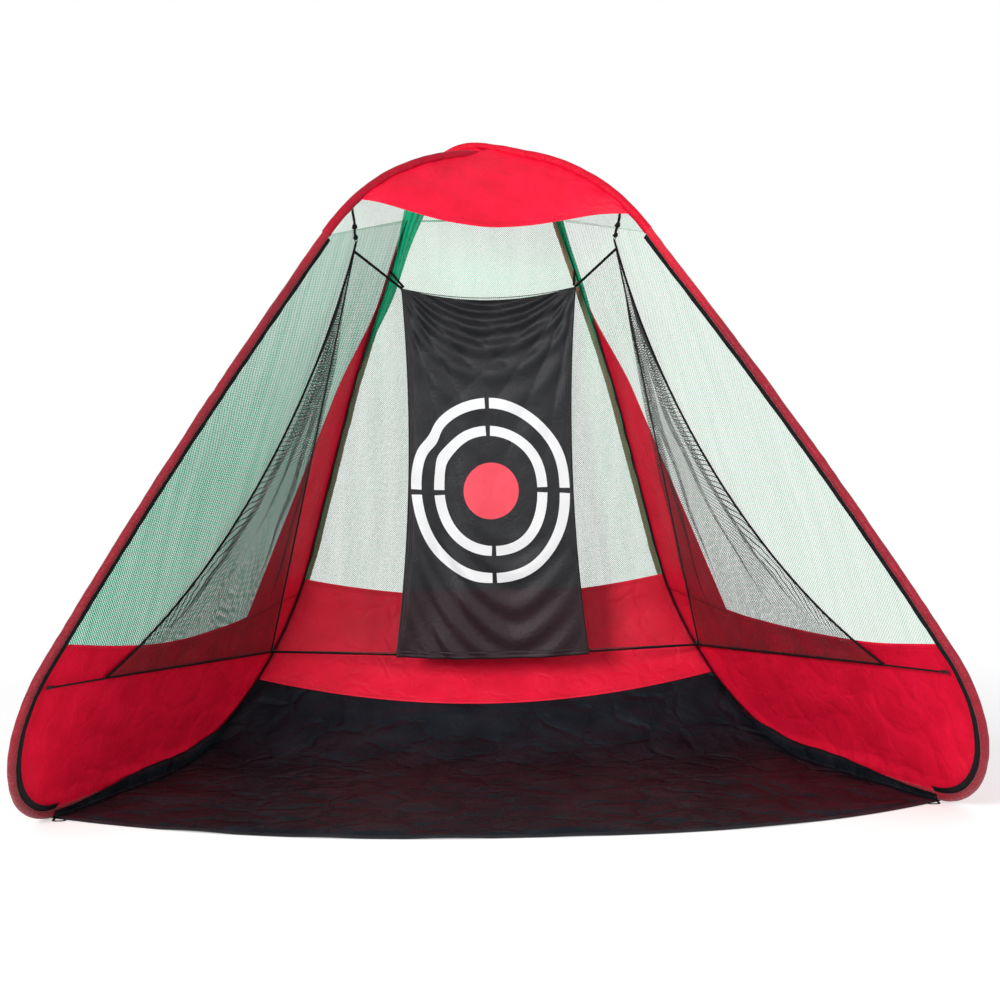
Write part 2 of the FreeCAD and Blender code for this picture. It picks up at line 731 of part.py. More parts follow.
def pierced_panel(panel, corners):
    """A panel that faces the front, with square meshes where they lie well inside its corners."""
    outline = polygon([(c.x, c.z) for c in corners])
    box = outline.BoundBox
    side = net_pitch - net_bar
    cutters = []
    for i in range(int(box.XLength / net_pitch) + 1):
        for j in range(int(box.YLength / net_pitch) + 1):
            x = box.XMin + i * net_pitch + net_bar
            z = box.YMin + j * net_pitch + net_bar
            ring = [Vector(x + a * side, z + b * side, 0) for a, b in SQUARE]
            if not all(outline.isInside(p, 0.01, True) for p in ring):
                continue
            if Part.makePolygon(ring).distToShape(outline.OuterWire)[0] < net_border - net_bar:
                continue
            cutters.append(Part.makeBox(side, 2 * half_span, side, Vector(x, 0, z)))
    return biggest(panel.cut(cutters))


def bindings(top_in, top_out, foot_in, foot_out):
    """The bound top edge of each side panel, the back hem cord and the ties at the target's top corners."""
    lift = Vector(0, cloth / 2, binding_radius + 3 * gap)
    inward = unit(top_in - top_out)
    top = bar(top_out + lift + inward * 12.0, top_in + lift - inward * 4.0, binding_radius)
    add("top_binding_left", top)
    add("top_binding_right", other_side(top))
    drop = Vector(0, cloth / 2, -binding_radius - 2 * gap)
    hem = [foot_out + drop, foot_in + drop, mirrored(foot_in + drop), mirrored(foot_out + drop)]
    add("back_hem_cord", tube(rounded(hem, [400.0, 400.0]), binding_radius))


def target_ties():
    """A short strap from each top corner of the target to the rear run's tape."""
    inner, _ = shifted(hoop_points, hoop_bends, sleeve_radius + tape_width / 2)
    _, waist, top = (leaf_point(p.x, p.y, -tie_width / 2) for p in inner[3:])
    share = (target_top_z + tie_rise - waist.z) / (top.z - waist.z)
    anchor = waist + (top - waist) * share
    start = Vector(tie_width - target_half(), target_y, target_top_z)
    way = unit(anchor - start)
    start.z += 2 * gap + tie_width / 2 * math.sqrt(1 - way.z ** 2)
    tie = strap(start, anchor, tie_width, hanger_thickness, Vector(0, 0, 1))
    tie = biggest(tie.cut(side_wall(floor_side_gap, cloth / 2 + gap)))
    add("target_tie_left", tie)
    add("target_tie_right", other_side(tie))


def corner_loops():
    """A flat webbing loop at each front corner of the floor, for a ground peg."""
    outer = polygon([(-loop_width / 2, -loop_length), (loop_width / 2, -loop_length),
                     (loop_width / 2, 0), (-loop_width / 2, 0)])
    edge = (loop_width - loop_slot_length) / 2
    low = edge - loop_length
    high = low + loop_slot_width
    round_end = loop_slot_width / 2
    side = loop_slot_length / 2 - round_end
    plate = outer.extrude(Vector(0, 0, cloth))
    corners = [e for e in plate.Edges if abs(e.tangentAt(e.FirstParameter).z) > 0.9]
    plate = plate.makeFillet(round_end, corners)
    slot = [polygon([(-side, low), (side, low), (side, high), (-side, high)]).extrude(Vector(0, 0, cloth))]
    slot += [Part.makeCylinder(round_end, cloth, Vector(x, low + round_end, 0)) for x in (-side, side)]
    ring = plate.cut(slot)
    ring.translate(Vector(loop_inset - half_span, loop_y, 0))
    loop = biggest(ring.cut(nodes["floor_sheet"]))
    add("corner_loop_left", loop)
    add("corner_loop_right", other_side(loop))


def fold_axis():
    """The line where the two leaves' planes meet, as a point and its way up to the front."""
    way = unit(Vector(0, -INWARD.z, INWARD.y) * -1)
    if way.z < 0:
        way = way * -1
    height = rear_shoulder[1]
    y = (INWARD.dot(CORNER) - INWARD.z * height) / INWARD.y
    return Vector(0, y, height), way


def build():
    leaf_hoop()
    leaf_sheets()
    wing()
    low, high = crown()
    hanger_pair(low, high)
    middle_sheets()
    crown_nets(low)
    valance(low, high)
    target()
    bindings(*back_net())
    target_ties()
    corner_loops()
    os.makedirs("parts", exist_ok=True)
    for name, shape in nodes.items():
        shape.translate(Vector(0, -middle_y, 0))
        shape.exportStep("parts/" + name + ".step")
    point, way = fold_axis()
    leaf_angle = 2 * math.degrees(math.asin(abs(INWARD.cross(Vector(1, 0, 0)).Length)))
    print("fold axis through", point - Vector(0, middle_y, 0), "way", way, "leaf angle", leaf_angle)
    print("fold limit", leaf_angle - closed_gap_angle)
    print("gap at the crossing", Part.Wire(low).distToShape(other_side(Part.Wire(high)))[0] - 2 * sleeve_radius)
    print("target hinge at y", target_y - middle_y, "z", target_top_z + tie_width / 2, "swing", -target_swing)


build()
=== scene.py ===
"""The pop-up golf chipping net as it stands in the photograph: cloth, netting, bindings and fittings over the frame.

Metres. X right, Y back, Z up, the origin on the ground under the floor. Each side of the hoop lies in one plane,
its leaf, and a leaf has its own coordinates: u back along the ground, v up the leaf, w inwards.
"""
import bpy
import json
import math
import numpy as np
from mathutils import Matrix, Vector
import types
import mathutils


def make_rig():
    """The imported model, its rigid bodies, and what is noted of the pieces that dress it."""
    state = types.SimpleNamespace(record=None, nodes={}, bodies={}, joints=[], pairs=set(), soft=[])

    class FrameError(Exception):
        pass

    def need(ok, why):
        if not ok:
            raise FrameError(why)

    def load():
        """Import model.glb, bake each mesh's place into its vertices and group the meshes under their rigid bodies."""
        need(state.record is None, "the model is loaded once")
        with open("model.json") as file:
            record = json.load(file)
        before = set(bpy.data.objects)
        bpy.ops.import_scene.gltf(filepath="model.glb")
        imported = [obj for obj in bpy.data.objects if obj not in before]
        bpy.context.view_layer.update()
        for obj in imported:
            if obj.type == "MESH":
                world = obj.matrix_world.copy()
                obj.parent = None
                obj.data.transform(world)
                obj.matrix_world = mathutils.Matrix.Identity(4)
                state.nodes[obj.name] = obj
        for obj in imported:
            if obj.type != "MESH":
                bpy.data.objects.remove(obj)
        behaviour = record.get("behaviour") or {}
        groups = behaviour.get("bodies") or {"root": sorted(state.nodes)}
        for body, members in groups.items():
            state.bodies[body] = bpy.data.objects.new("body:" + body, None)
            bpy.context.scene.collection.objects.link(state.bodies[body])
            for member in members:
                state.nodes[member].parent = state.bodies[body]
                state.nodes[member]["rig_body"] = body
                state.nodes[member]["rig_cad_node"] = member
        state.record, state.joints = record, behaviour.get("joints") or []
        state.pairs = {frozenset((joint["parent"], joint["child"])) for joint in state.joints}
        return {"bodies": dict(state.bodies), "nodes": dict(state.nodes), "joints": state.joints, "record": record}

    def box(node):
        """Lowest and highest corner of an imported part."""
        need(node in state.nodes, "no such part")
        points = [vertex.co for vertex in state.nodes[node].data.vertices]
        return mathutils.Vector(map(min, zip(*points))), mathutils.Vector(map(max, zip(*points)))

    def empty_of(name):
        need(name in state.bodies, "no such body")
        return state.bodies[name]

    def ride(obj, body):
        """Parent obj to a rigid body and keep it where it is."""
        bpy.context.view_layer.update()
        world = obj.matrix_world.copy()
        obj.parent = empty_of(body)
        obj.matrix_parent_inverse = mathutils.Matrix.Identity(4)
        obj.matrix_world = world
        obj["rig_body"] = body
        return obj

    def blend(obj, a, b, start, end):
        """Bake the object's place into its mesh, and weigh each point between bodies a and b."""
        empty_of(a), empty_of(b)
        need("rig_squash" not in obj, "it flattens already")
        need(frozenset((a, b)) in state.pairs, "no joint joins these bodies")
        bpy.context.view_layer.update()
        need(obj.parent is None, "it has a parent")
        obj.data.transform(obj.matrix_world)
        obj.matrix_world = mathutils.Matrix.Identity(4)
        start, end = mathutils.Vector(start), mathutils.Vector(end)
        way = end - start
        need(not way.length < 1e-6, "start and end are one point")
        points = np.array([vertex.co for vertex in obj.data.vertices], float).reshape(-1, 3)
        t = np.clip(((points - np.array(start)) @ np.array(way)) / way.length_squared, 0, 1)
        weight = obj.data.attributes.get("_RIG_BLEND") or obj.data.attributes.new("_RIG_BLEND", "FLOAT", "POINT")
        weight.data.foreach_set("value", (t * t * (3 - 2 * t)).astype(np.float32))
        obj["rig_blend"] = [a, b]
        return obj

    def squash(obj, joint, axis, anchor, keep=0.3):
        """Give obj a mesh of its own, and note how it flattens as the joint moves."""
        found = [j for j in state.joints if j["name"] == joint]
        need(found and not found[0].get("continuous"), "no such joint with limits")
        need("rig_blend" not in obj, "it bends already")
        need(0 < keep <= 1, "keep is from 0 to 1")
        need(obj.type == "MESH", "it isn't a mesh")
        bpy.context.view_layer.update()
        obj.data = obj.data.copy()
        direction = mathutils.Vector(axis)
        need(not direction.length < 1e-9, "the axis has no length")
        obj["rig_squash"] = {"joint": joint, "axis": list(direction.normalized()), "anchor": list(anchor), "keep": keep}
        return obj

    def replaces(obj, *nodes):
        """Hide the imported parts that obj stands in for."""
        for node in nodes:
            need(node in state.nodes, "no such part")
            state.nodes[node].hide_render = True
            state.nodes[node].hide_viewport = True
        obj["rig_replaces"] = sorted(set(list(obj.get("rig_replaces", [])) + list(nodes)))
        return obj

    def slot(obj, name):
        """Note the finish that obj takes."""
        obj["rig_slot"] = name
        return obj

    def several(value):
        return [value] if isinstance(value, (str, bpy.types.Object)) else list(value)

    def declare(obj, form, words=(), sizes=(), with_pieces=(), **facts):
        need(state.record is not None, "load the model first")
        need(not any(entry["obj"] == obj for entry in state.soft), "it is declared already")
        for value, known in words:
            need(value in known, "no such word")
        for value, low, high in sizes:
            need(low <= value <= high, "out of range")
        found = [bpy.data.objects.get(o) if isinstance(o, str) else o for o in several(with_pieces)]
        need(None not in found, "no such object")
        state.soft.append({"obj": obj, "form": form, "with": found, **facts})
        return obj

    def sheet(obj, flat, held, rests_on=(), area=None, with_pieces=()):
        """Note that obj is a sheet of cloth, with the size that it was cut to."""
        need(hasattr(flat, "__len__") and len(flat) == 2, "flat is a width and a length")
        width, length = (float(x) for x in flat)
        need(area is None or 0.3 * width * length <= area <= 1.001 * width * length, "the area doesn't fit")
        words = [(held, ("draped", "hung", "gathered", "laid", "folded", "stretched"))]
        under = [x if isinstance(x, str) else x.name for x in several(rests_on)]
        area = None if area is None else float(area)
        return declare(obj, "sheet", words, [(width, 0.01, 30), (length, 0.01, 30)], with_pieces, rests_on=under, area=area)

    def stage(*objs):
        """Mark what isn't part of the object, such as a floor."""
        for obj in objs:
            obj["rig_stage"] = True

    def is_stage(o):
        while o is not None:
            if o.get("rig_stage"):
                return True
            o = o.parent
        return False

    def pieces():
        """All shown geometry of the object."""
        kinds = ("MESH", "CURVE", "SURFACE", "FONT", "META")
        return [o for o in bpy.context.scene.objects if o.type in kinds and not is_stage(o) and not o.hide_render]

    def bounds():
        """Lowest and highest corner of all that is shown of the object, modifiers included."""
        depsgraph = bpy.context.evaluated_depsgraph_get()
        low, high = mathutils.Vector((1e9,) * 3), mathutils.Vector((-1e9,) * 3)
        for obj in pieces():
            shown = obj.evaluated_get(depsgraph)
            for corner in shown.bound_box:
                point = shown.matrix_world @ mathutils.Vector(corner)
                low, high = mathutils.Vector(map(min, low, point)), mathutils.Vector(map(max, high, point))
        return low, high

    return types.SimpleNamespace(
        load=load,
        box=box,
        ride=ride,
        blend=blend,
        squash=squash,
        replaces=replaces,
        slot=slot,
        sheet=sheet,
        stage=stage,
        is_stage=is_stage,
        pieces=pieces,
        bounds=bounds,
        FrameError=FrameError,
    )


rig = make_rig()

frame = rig.load()
CAD_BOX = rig.bounds()

# Camera, fitted to the hoop's outline in the photograph
CAMERA_PLACE = (-0.272, -7.729, 1.639)
CAMERA_LENS = 83.92
CAMERA_YAW, CAMERA_PITCH, CAMERA_ROLL = -0.03918, -0.08896, -0.01096

# Leaves and hoop, as in the solids. A shoulder, waist or end is a place on its leaf, and a bend is a radius
FRONT_Y = -0.995
HALF_SPAN = 1.680
TOE_IN = math.radians(24.4)
LEAN = math.radians(19.0)
SLEEVE = 0.013
ROD = 0.003
TAPE, TAPE_THICKNESS = 0.022, 0.0022
TAPE_LIFT, TAPE_TILT = 0.0045, math.radians(20)
SHOULDER, SHOULDER_BEND = (1.603, 2.179), 0.850
WAIST, WAIST_BEND = (0.730, 1.142), 10.1
FRONT_BEND = 0.354
REAR_U, REAR_BEND = 2.111, 0.660
REAR_WAIST, REAR_WAIST_BEND = (1.979, 1.395), 1.700
REAR_SHOULDER, REAR_SHOULDER_BEND = (2.027, 2.330), 0.250
CROWN_FRONT_REACH, CROWN_REAR_REACH = 0.325, 0.340
LIFTS_LOW, LIFTS_HIGH = (0.0277, -0.0944), (-0.0400, -0.0322)
FRONT_RUN_END, GROUND_RUN_END = 0.660, 1.375
LOWEST = 0.0003

# Meshes: the spacing of points along a line, how near points are joined, the rings that round off a tube's end (a share
# of its width, and how far out in radii), and a band's section in shares of its width and thickness
STEP = 0.012
WELD = 0.00008
CAP = ((0.93, 0.12), (0.6, 0.24), (0.002, 0.28))
BAND_SECTION = ((-0.5, 0.0), (-0.47, 0.42), (-0.25, 0.5), (0.0, 0.46), (0.25, 0.5), (0.47, 0.42),
                (0.5, 0.0), (0.47, -0.42), (0.25, -0.5), (0.0, -0.46), (-0.25, -0.5), (-0.47, -0.42))

# Cloth and netting
CLOTH = 0.0009
NET_EDGE = 0.003
SHEET_BEHIND_TAPE = 0.0024
GROUND = 0.0012
SKIRT_ENDS, SKIRT_MIDDLE = 0.600, 0.525
STRIP_FOOT, STRIP_SLOPE, STRIP_TOP = 1.640, 0.230, 1.800
WING_TOP = (1.620, 1.905)
WING_WAIST = (1.400, 1.030)
WING_FRONT_FOOT = (0.730, 0.455)
WING_HEEL = (1.905, 0.357)
HEM_HOOK = (0.425, 0.474)
WING_OFF = 0.009
WING_ROWS = 100
FRONT_CORD, REAR_SEAM, HEM_CORD, TOP_CORD, BACK_HEM_CORD = 0.0038, 0.0026, 0.0034, 0.0046, 0.0036
CORD_DROP = 0.0035
CORD_SIDES = 10
PIPING, ELASTIC = 0.0026, 0.0030
FLOOR_CORNER_U = 0.620
FLOOR_FRONT_Y, FLOOR_HEM_WIDTH = -0.832, 0.020
PROFILE_BEND = 0.540
REAR_INSET = 0.024
SEAM_MIDDLE, SEAM_SIDE = 0.155, 0.240
REAR_SKIRT_MIDDLE, REAR_SKIRT_SIDE = 0.530, 0.600
REAR_NET_TOP = 1.893
CUFF_SECTION = ((-0.0008, 0.0320), (-0.0036, 0.0235), (-0.0010, 0.0186), (0.0060, 0.0178),
                (0.0160, 0.0168), (0.0290, 0.0150), (0.0370, 0.0105), (0.0410, 0.0010))
CUFF_WIDTH = 0.066
VALANCE_START, VALANCE_END = 0.16, 0.075
VALANCE_LOWER = ((-0.364, 0.100, 1.945), (-0.248, 0.092, 1.908), (-0.132, 0.088, 1.874), (0.011, 0.086, 1.852),
                 (0.145, 0.088, 1.858), (0.245, 0.090, 1.873), (0.380, 0.092, 1.896))

# Target
TARGET_X = 0.020
TARGET_Y = 0.520
TARGET_TOP, TARGET_BOTTOM = 1.656, 0.345
TARGET_HALF_TOP, TARGET_HALF_WAIST, TARGET_HALF_BOTTOM = 0.308, 0.290, 0.345
TARGET_SAG = 0.045
RING_HEIGHT = 0.936
OUTER_RING, INNER_RING, RING_BAND, RING_BREAK = (0.283, 0.333), (0.203, 0.235), 0.036, 0.018
DISC = (0.098, 0.101)
BACK_NET_GAP = 0.017

# Straps and fittings: a knot's name, its place on the strap and its size, and the hook's outline from its eye
STRAP_THICKNESS = 0.0018
HANGER_WIDTH, TIE_WIDTH = 0.013, 0.0085
HANGER_KNOTS = (("lower", 0.010, 0.0082), ("upper", 0.058, 0.0090))
HANGER_RING, RING_WIRE = 0.0055, 0.0014
WEBBING_WIDTH, WEBBING_THICKNESS, WEBBING_HALF, WEBBING_TAIL = 0.0078, 0.0020, 0.018, 0.040
HOOK_OUTLINE = ((-0.034, -0.006), (-0.027, -0.006), (-0.027, 0.0012), (-0.0187, 0.0012), (-0.0187, -0.006),
                (-0.0006, -0.0045), (-0.0006, 0.0045), (-0.012, 0.006), (-0.034, 0.006))
HOOK_THICKNESS, HOOK_BEVEL = 0.0056, 0.0011

# Stage: a lamp's name, place, size and power
AMBIENT = 0.52
STUDIO_FLOOR, FADE_START, FADE_END = 12.0, 2.1, 3.2
LAMPS = (("Key", (-5.2, -8.6, 4.2), 3.0, 820), ("Fill", (5.6, -7.6, 2.8), 4.0, 260))
LAMP_AIM = (0, 0, 1.0)


# Leaf frame and routes

ALONG = np.array([math.sin(TOE_IN), math.cos(TOE_IN), 0.0])
UP = np.array([math.sin(LEAN) * math.cos(TOE_IN), -math.sin(LEAN) * math.sin(TOE_IN), math.cos(LEAN)])
INWARD = np.cross(ALONG, UP)
CORNER = np.array([-HALF_SPAN, FRONT_Y, SLEEVE])
MIRROR = np.array([-1.0, 1.0, 1.0])
SIDES = ("left", "right")
SIGN = {"left": -1, "right": 1}


def unit(v):
    return v / np.linalg.norm(v)


def lengths(line):
    """How far along a line each of its points lies."""
    return np.concatenate([[0.0], np.cumsum(np.linalg.norm(np.diff(line, axis=0), axis=1))])


def sided(v, side):
    """Points or ways of the left side as they are on a side."""
    return v * MIRROR if side == "right" else v


def leaf(u, v, w=0.0, side="left"):
    """Points of a leaf from its own coordinates, single or in arrays."""
    u, v, w = np.broadcast_arrays(np.asarray(u, float), v, w)
    return sided(CORNER + u[..., None] * ALONG + v[..., None] * UP + w[..., None] * INWARD, side)


def on_side(line, side, w=0.0):
    return leaf(line[:, 0], line[:, 1], w, side)


def inward_of(side):
    return sided(INWARD, side)


def leaf_x(y, z, w):
    """How far left the plane w inside the left leaf lies at a depth and height."""
    return CORNER[0] + (w - INWARD[1] * (y - CORNER[1]) - INWARD[2] * (z - CORNER[2])) / INWARD[0]


def route(points, bends, step=STEP):
    """Points along straight runs joined by arcs of the given radii."""
    points = [np.asarray(p, float) for p in points]
    line = [points[0]]
    for corner, before, after, radius in zip(points[1:-1], points, points[2:], bends):
        back, ahead = unit(before - corner), unit(after - corner)
        turn = math.pi - math.acos(np.clip(back @ ahead, -1, 1))
        reach = radius * math.tan(turn / 2)
        centre = corner + unit(back + ahead) * radius / math.cos(turn / 2)
        start, end = corner + back * reach - centre, corner + ahead * reach - centre
        for share in np.linspace(0, 1, count_steps(radius * turn, step) + 1):
            a, b = math.sin((1 - share) * turn), math.sin(share * turn)
            line.append(centre + (start * a + end * b) / math.sin(turn))
    line.append(points[-1])
    return even(line, step)


def count_steps(length, step):
    return max(2, int(math.ceil(length / step)))


def even(line, step=STEP):
    """The same line with its points evenly spaced."""
    line = np.asarray(line, float)
    reach = lengths(line)
    keep = np.concatenate([[True], np.diff(reach) > 1e-6])
    spots = np.linspace(0, reach[-1], count_steps(reach[-1], step) + 1)
    return np.stack([np.interp(spots, reach[keep], line[keep, k]) for k in range(line.shape[1])], axis=1)


def aside(points, bends, distance):
    """A flat route moved to its left by distance, bends kept parallel."""
    points = [np.asarray(p, float) for p in points]
    ways = [unit(b - a) for a, b in zip(points, points[1:])]
    normals = [np.array([-w[1], w[0]]) for w in ways]
    moved = [points[0] + normals[0] * distance]
    radii = []
    for k, radius in enumerate(bends):
        a, b = normals[k], normals[k + 1]
        moved.append(points[k + 1] + (a + b) * distance / (1 + a @ b))
        left_turn = ways[k][0] * ways[k + 1][1] - ways[k][1] * ways[k + 1][0] > 0
        radii.append(radius - distance if left_turn else radius + distance)
    moved.append(points[-1] + normals[-1] * distance)
    return moved, radii


def towards(point, other, distance):
    a, b = np.array(point), np.array(other)
    return a + unit(b - a) * distance


HOOP_FRONT_TOP = towards(SHOULDER, WAIST, CROWN_FRONT_REACH)
HOOP_REAR_TOP = towards(REAR_SHOULDER, REAR_WAIST, CROWN_REAR_REACH)
HOOP = [HOOP_FRONT_TOP, WAIST, (0.0, 0.0), (REAR_U, 0.0), REAR_WAIST, HOOP_REAR_TOP]
HOOP_BENDS = [WAIST_BEND, FRONT_BEND, REAR_BEND, REAR_WAIST_BEND]


def inside(distance, step=0.01):
    """The hoop's line moved inwards."""
    return route(*aside(HOOP, HOOP_BENDS, distance), step)


def crown_route(lifts):
    """The run over the top from the left front leg to the right rear leg."""
    front_way = unit(np.array(SHOULDER) - WAIST)
    rear_way = unit(np.array(REAR_SHOULDER) - REAR_WAIST)
    near, far = SHOULDER + front_way * lifts[0], REAR_SHOULDER + rear_way * lifts[1]
    points = [leaf(*HOOP_FRONT_TOP), leaf(*near), leaf(*far, side="right"), leaf(*HOOP_REAR_TOP, side="right")]
    return route(points, [SHOULDER_BEND, REAR_SHOULDER_BEND])


CROWN_LOW = crown_route(LIFTS_LOW)
CROWN_HIGH = crown_route(LIFTS_HIGH) * MIRROR


def span_of(inset):
    """The leaf's width inside the hoop at any height, as two functions of v, inset from the hoop's line."""
    a = inside(inset, 0.004)
    b = np.roll(a, -1, axis=0)
    heights = np.arange(a[:, 1].min() + 1e-4, a[:, 1].max() - 1e-4, 0.004)
    low, high = [], []
    for v in heights:
        cut = (a[:, 1] <= v) != (b[:, 1] <= v)
        u = a[cut, 0] + (v - a[cut, 1]) * (b[cut, 0] - a[cut, 0]) / (b[cut, 1] - a[cut, 1])
        low.append(u.min())
        high.append(u.max())
    return (lambda v: np.interp(v, heights, low)), (lambda v: np.interp(v, heights, high)), heights[0], heights[-1]


# Shapes that vary over a sheet

def smooth(t):
    t = np.clip(t, 0, 1)
    return t * t * (3 - 2 * t)


def rumple(a, b, size, seed, waves=9):
    """A smooth random field over the cloth, from about -1 to 1, with bumps of the given size."""
    pick = np.random.default_rng(seed)
    total = np.zeros(np.broadcast(a, b).shape)
    for _ in range(waves):
        angle, phase = pick.uniform(0, math.pi), pick.uniform(0, 2 * math.pi)
        pitch = size * pick.uniform(0.7, 1.6)
        total = total + np.sin((a * math.cos(angle) + b * math.sin(angle)) * 2 * math.pi / pitch + phase)
    return total / waves ** 0.5 / 1.6


def creases(a, b, size, seed):
    """Sharp ridges with soft ground between them, from 0 to 1."""
    return (1 - np.minimum(np.abs(rumple(a, b, size, seed)) * 1.6, 1)) ** 2


def stretched_folds(a, b, angle, pitch, seed):
    """Long folds that run one way, uneven in spacing and depth."""
    c, s = math.cos(angle), math.sin(angle)
    across, along = a * -s + b * c, a * c + b * s
    return rumple(across, along * 0.16, pitch, seed)


def border(t, soft):
    """0 at both ends of t, and 1 where t is further than soft from them."""
    return smooth(np.minimum(t, 1 - t) / soft)


def shares(columns, rows):
    """Each lattice point's share across and down, as a row and a column."""
    return np.linspace(0, 1, columns)[None, :], np.linspace(0, 1, rows)[:, None]


def joined(*parts):
    """Points from arrays of each of their coordinates."""
    return np.stack(np.broadcast_arrays(*parts), axis=-1)


def between(first, second, t):
    """Lattice places on straight lines from the points of one line to those of another."""
    return first[:, None] * (1 - t[..., None]) + second[:, None] * t[..., None]


def rim(t, q, wide, high):
    """The distance from each lattice point to the nearest edge."""
    return np.minimum(np.minimum(t, 1 - t) * wide, np.minimum(q, 1 - q) * high)


# Meshes

def new_object(name, data):
    made = bpy.data.objects.new(name, data)
    bpy.context.scene.collection.objects.link(made)
    return made


def only(obj):
    """Selects one object alone, and makes it active."""
    bpy.ops.object.select_all(action="DESELECT")
    obj.select_set(True)
    bpy.context.view_layer.objects.active = obj


def corners(index):
    """The four corners of each cell of a lattice."""
    return np.stack([index[:-1, :-1], index[:-1, 1:], index[1:, 1:], index[1:, :-1]], axis=-1)


def lattice(name, places, flat, edge=None, ring=False):
    """A mesh over a lattice of points. flat is the cloth's own two coordinates, edge the distance to its border."""
    index = np.arange(places[..., 0].size).reshape(places.shape[:2])
    if ring:
        index = np.concatenate([index, index[:, :1]], axis=1)
    mesh = bpy.data.meshes.new(name)
    mesh.from_pydata(places.reshape(-1, 3).tolist(), [], corners(index).reshape(-1, 4).tolist())
    layer = mesh.uv_layers.new(name="Cloth")
    uv_index = corners(np.arange(flat[..., 0].size).reshape(flat.shape[:2])).reshape(-1)
    layer.data.foreach_set("uv", flat.reshape(-1, 2)[uv_index].astype(np.float32).ravel())
    if edge is not None:
        mark = mesh.attributes.new("edge", "FLOAT", "POINT")
        mark.data.foreach_set("value", edge.astype(np.float32).ravel())
    mesh.update()
    made = new_object(name, mesh)
    only(made)
    bpy.ops.object.mode_set(mode="EDIT")
    bpy.ops.mesh.select_all(action="SELECT")
    bpy.ops.mesh.remove_doubles(threshold=WELD)
    bpy.ops.mesh.normals_make_consistent(inside=False)
    bpy.ops.object.mode_set(mode="OBJECT")
    bpy.ops.object.shade_smooth()
    return made


def apply_all(obj):
    only(obj)
    for modifier in list(obj.modifiers):
        bpy.ops.object.modifier_apply(modifier=modifier.name)


def give_thickness(obj):
    solid = obj.modifiers.new("Thickness", "SOLIDIFY")
    solid.thickness, solid.offset = CLOTH, 0
    apply_all(obj)


def directions(line, hint):
    """Along each point of a line: its way, and two directions square to it that don't twist."""
    ways = np.gradient(line, axis=0)
    ways /= np.linalg.norm(ways, axis=1)[:, None]
    first = [np.asarray(hint, float)]
    for way in ways:
        first.append(unit(first[-1] - way * (first[-1] @ way)))
    first = np.array(first[1:])
    return ways, first, np.cross(ways, first)


def tube(name, line, hint, radius, sides=20, shape=None):
    """A round skin along a line, with rounded ends. shape(length, angle) may add to the radius."""
    ways, first, second = directions(line, hint)
    length = lengths(line)
    s, a = length[:, None], np.linspace(0, 2 * math.pi, sides, endpoint=False)[None, :]
    r = radius + (shape(s, a) if shape else 0.0) + np.zeros((len(line), sides))
    places = line[:, None] + r[..., None] * (
        np.cos(a)[..., None] * first[:, None] + np.sin(a)[..., None] * second[:, None])
    caps = [np.array([line[end] + (places[end] - line[end]) * k + ways[end] * step * radius * b for k, b in CAP])
            for end, step in ((0, -1), (-1, 1))]
    more = radius * np.array([0.12, 0.4, 0.8])
    places = np.concatenate([caps[0][::-1], places, caps[1]])
    length = np.concatenate([length[0] - more[::-1], length, length[-1] + more])
    places[..., 2] = np.maximum(places[..., 2], LOWEST)
    return lattice(name, places, joined(length[:, None], np.linspace(0, 2 * math.pi * radius, sides + 1)), ring=True)


def ribbon(name, line, face_way, width, thickness, wave=None, tilt=0.0):
    """A flat band along a line. face_way is square to the band at each point, wave(length) moves it that way."""
    ways, facing, side = directions(line, face_way)
    facing, side = (facing * math.cos(tilt) + side * math.sin(tilt), side * math.cos(tilt) - facing * math.sin(tilt))
    length = lengths(line)
    line = line + facing * (wave(length)[:, None] if wave else 0.0)
    across, deep = np.array(BAND_SECTION).T * ((width,), (thickness,))
    places = line[:, None] + across[:, None] * side[:, None] + deep[:, None] * facing[:, None]
    first, last = (row.mean(axis=0) + (row - row.mean(axis=0)) * 0.002 for row in (places[0], places[-1]))
    places = np.concatenate([first[None], places, last[None]])
    length = np.concatenate([[length[0] - 0.001], length, [length[-1] + 0.001]])
    return lattice(name, places, joined(length[:, None], np.append(across, across[0])), ring=True)


# How pieces ride and what they stand for

FOLD = next(j for j in frame["record"]["behaviour"]["joints"] if j["name"] == "frame_fold")
FOLD_POINT = np.array(FOLD["pos_m"])
FOLD_WAY = unit(np.array(FOLD["axis"]))


def fan(obj):
    """Cloth between the leaves closes like a fan: each point turns by its share of the angle between them."""
    left, right = leaf(1.0, 1.0), leaf(1.0, 1.0, side="right")
    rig.blend(obj, "left_leaf", "right_leaf", start=tuple(left), end=tuple(right))
    points = np.array([v.co for v in obj.data.vertices]) - FOLD_POINT
    ahead = np.cross(FOLD_WAY, [1.0, 0.0, 0.0])
    turn = np.arctan2(points[:, 0], points @ ahead)
    limit = abs(math.atan2(left[0] - FOLD_POINT[0], (left - FOLD_POINT) @ ahead))
    share = np.clip((turn + limit) / (2 * limit), 0, 1)
    obj.data.attributes["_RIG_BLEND"].data.foreach_set("value", share.astype(np.float32))


def gather(obj):
    """The target gathers like a curtain beside the left leaf as the frame folds."""
    way = unit(INWARD * [1.0, 0.0, 1.0])
    beside = (leaf_x(TARGET_Y, 1.0, 0.030), TARGET_Y, 1.0)
    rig.squash(obj, "frame_fold", axis=tuple(way), anchor=beside, keep=0.02)


def put(obj, material):
    obj.data.materials.clear()
    obj.data.materials.append(material)


def dress(obj, material, slot, rides, *nodes):
    """Gives a piece its material and its place in the frame."""
    put(obj, material)
    if rides == "middle":
        fan(obj)
    else:
        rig.ride(obj, rides)
    if rides == "target":
        gather(obj)
    if nodes:
        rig.replaces(obj, *nodes)
    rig.slot(obj, slot)
    return obj


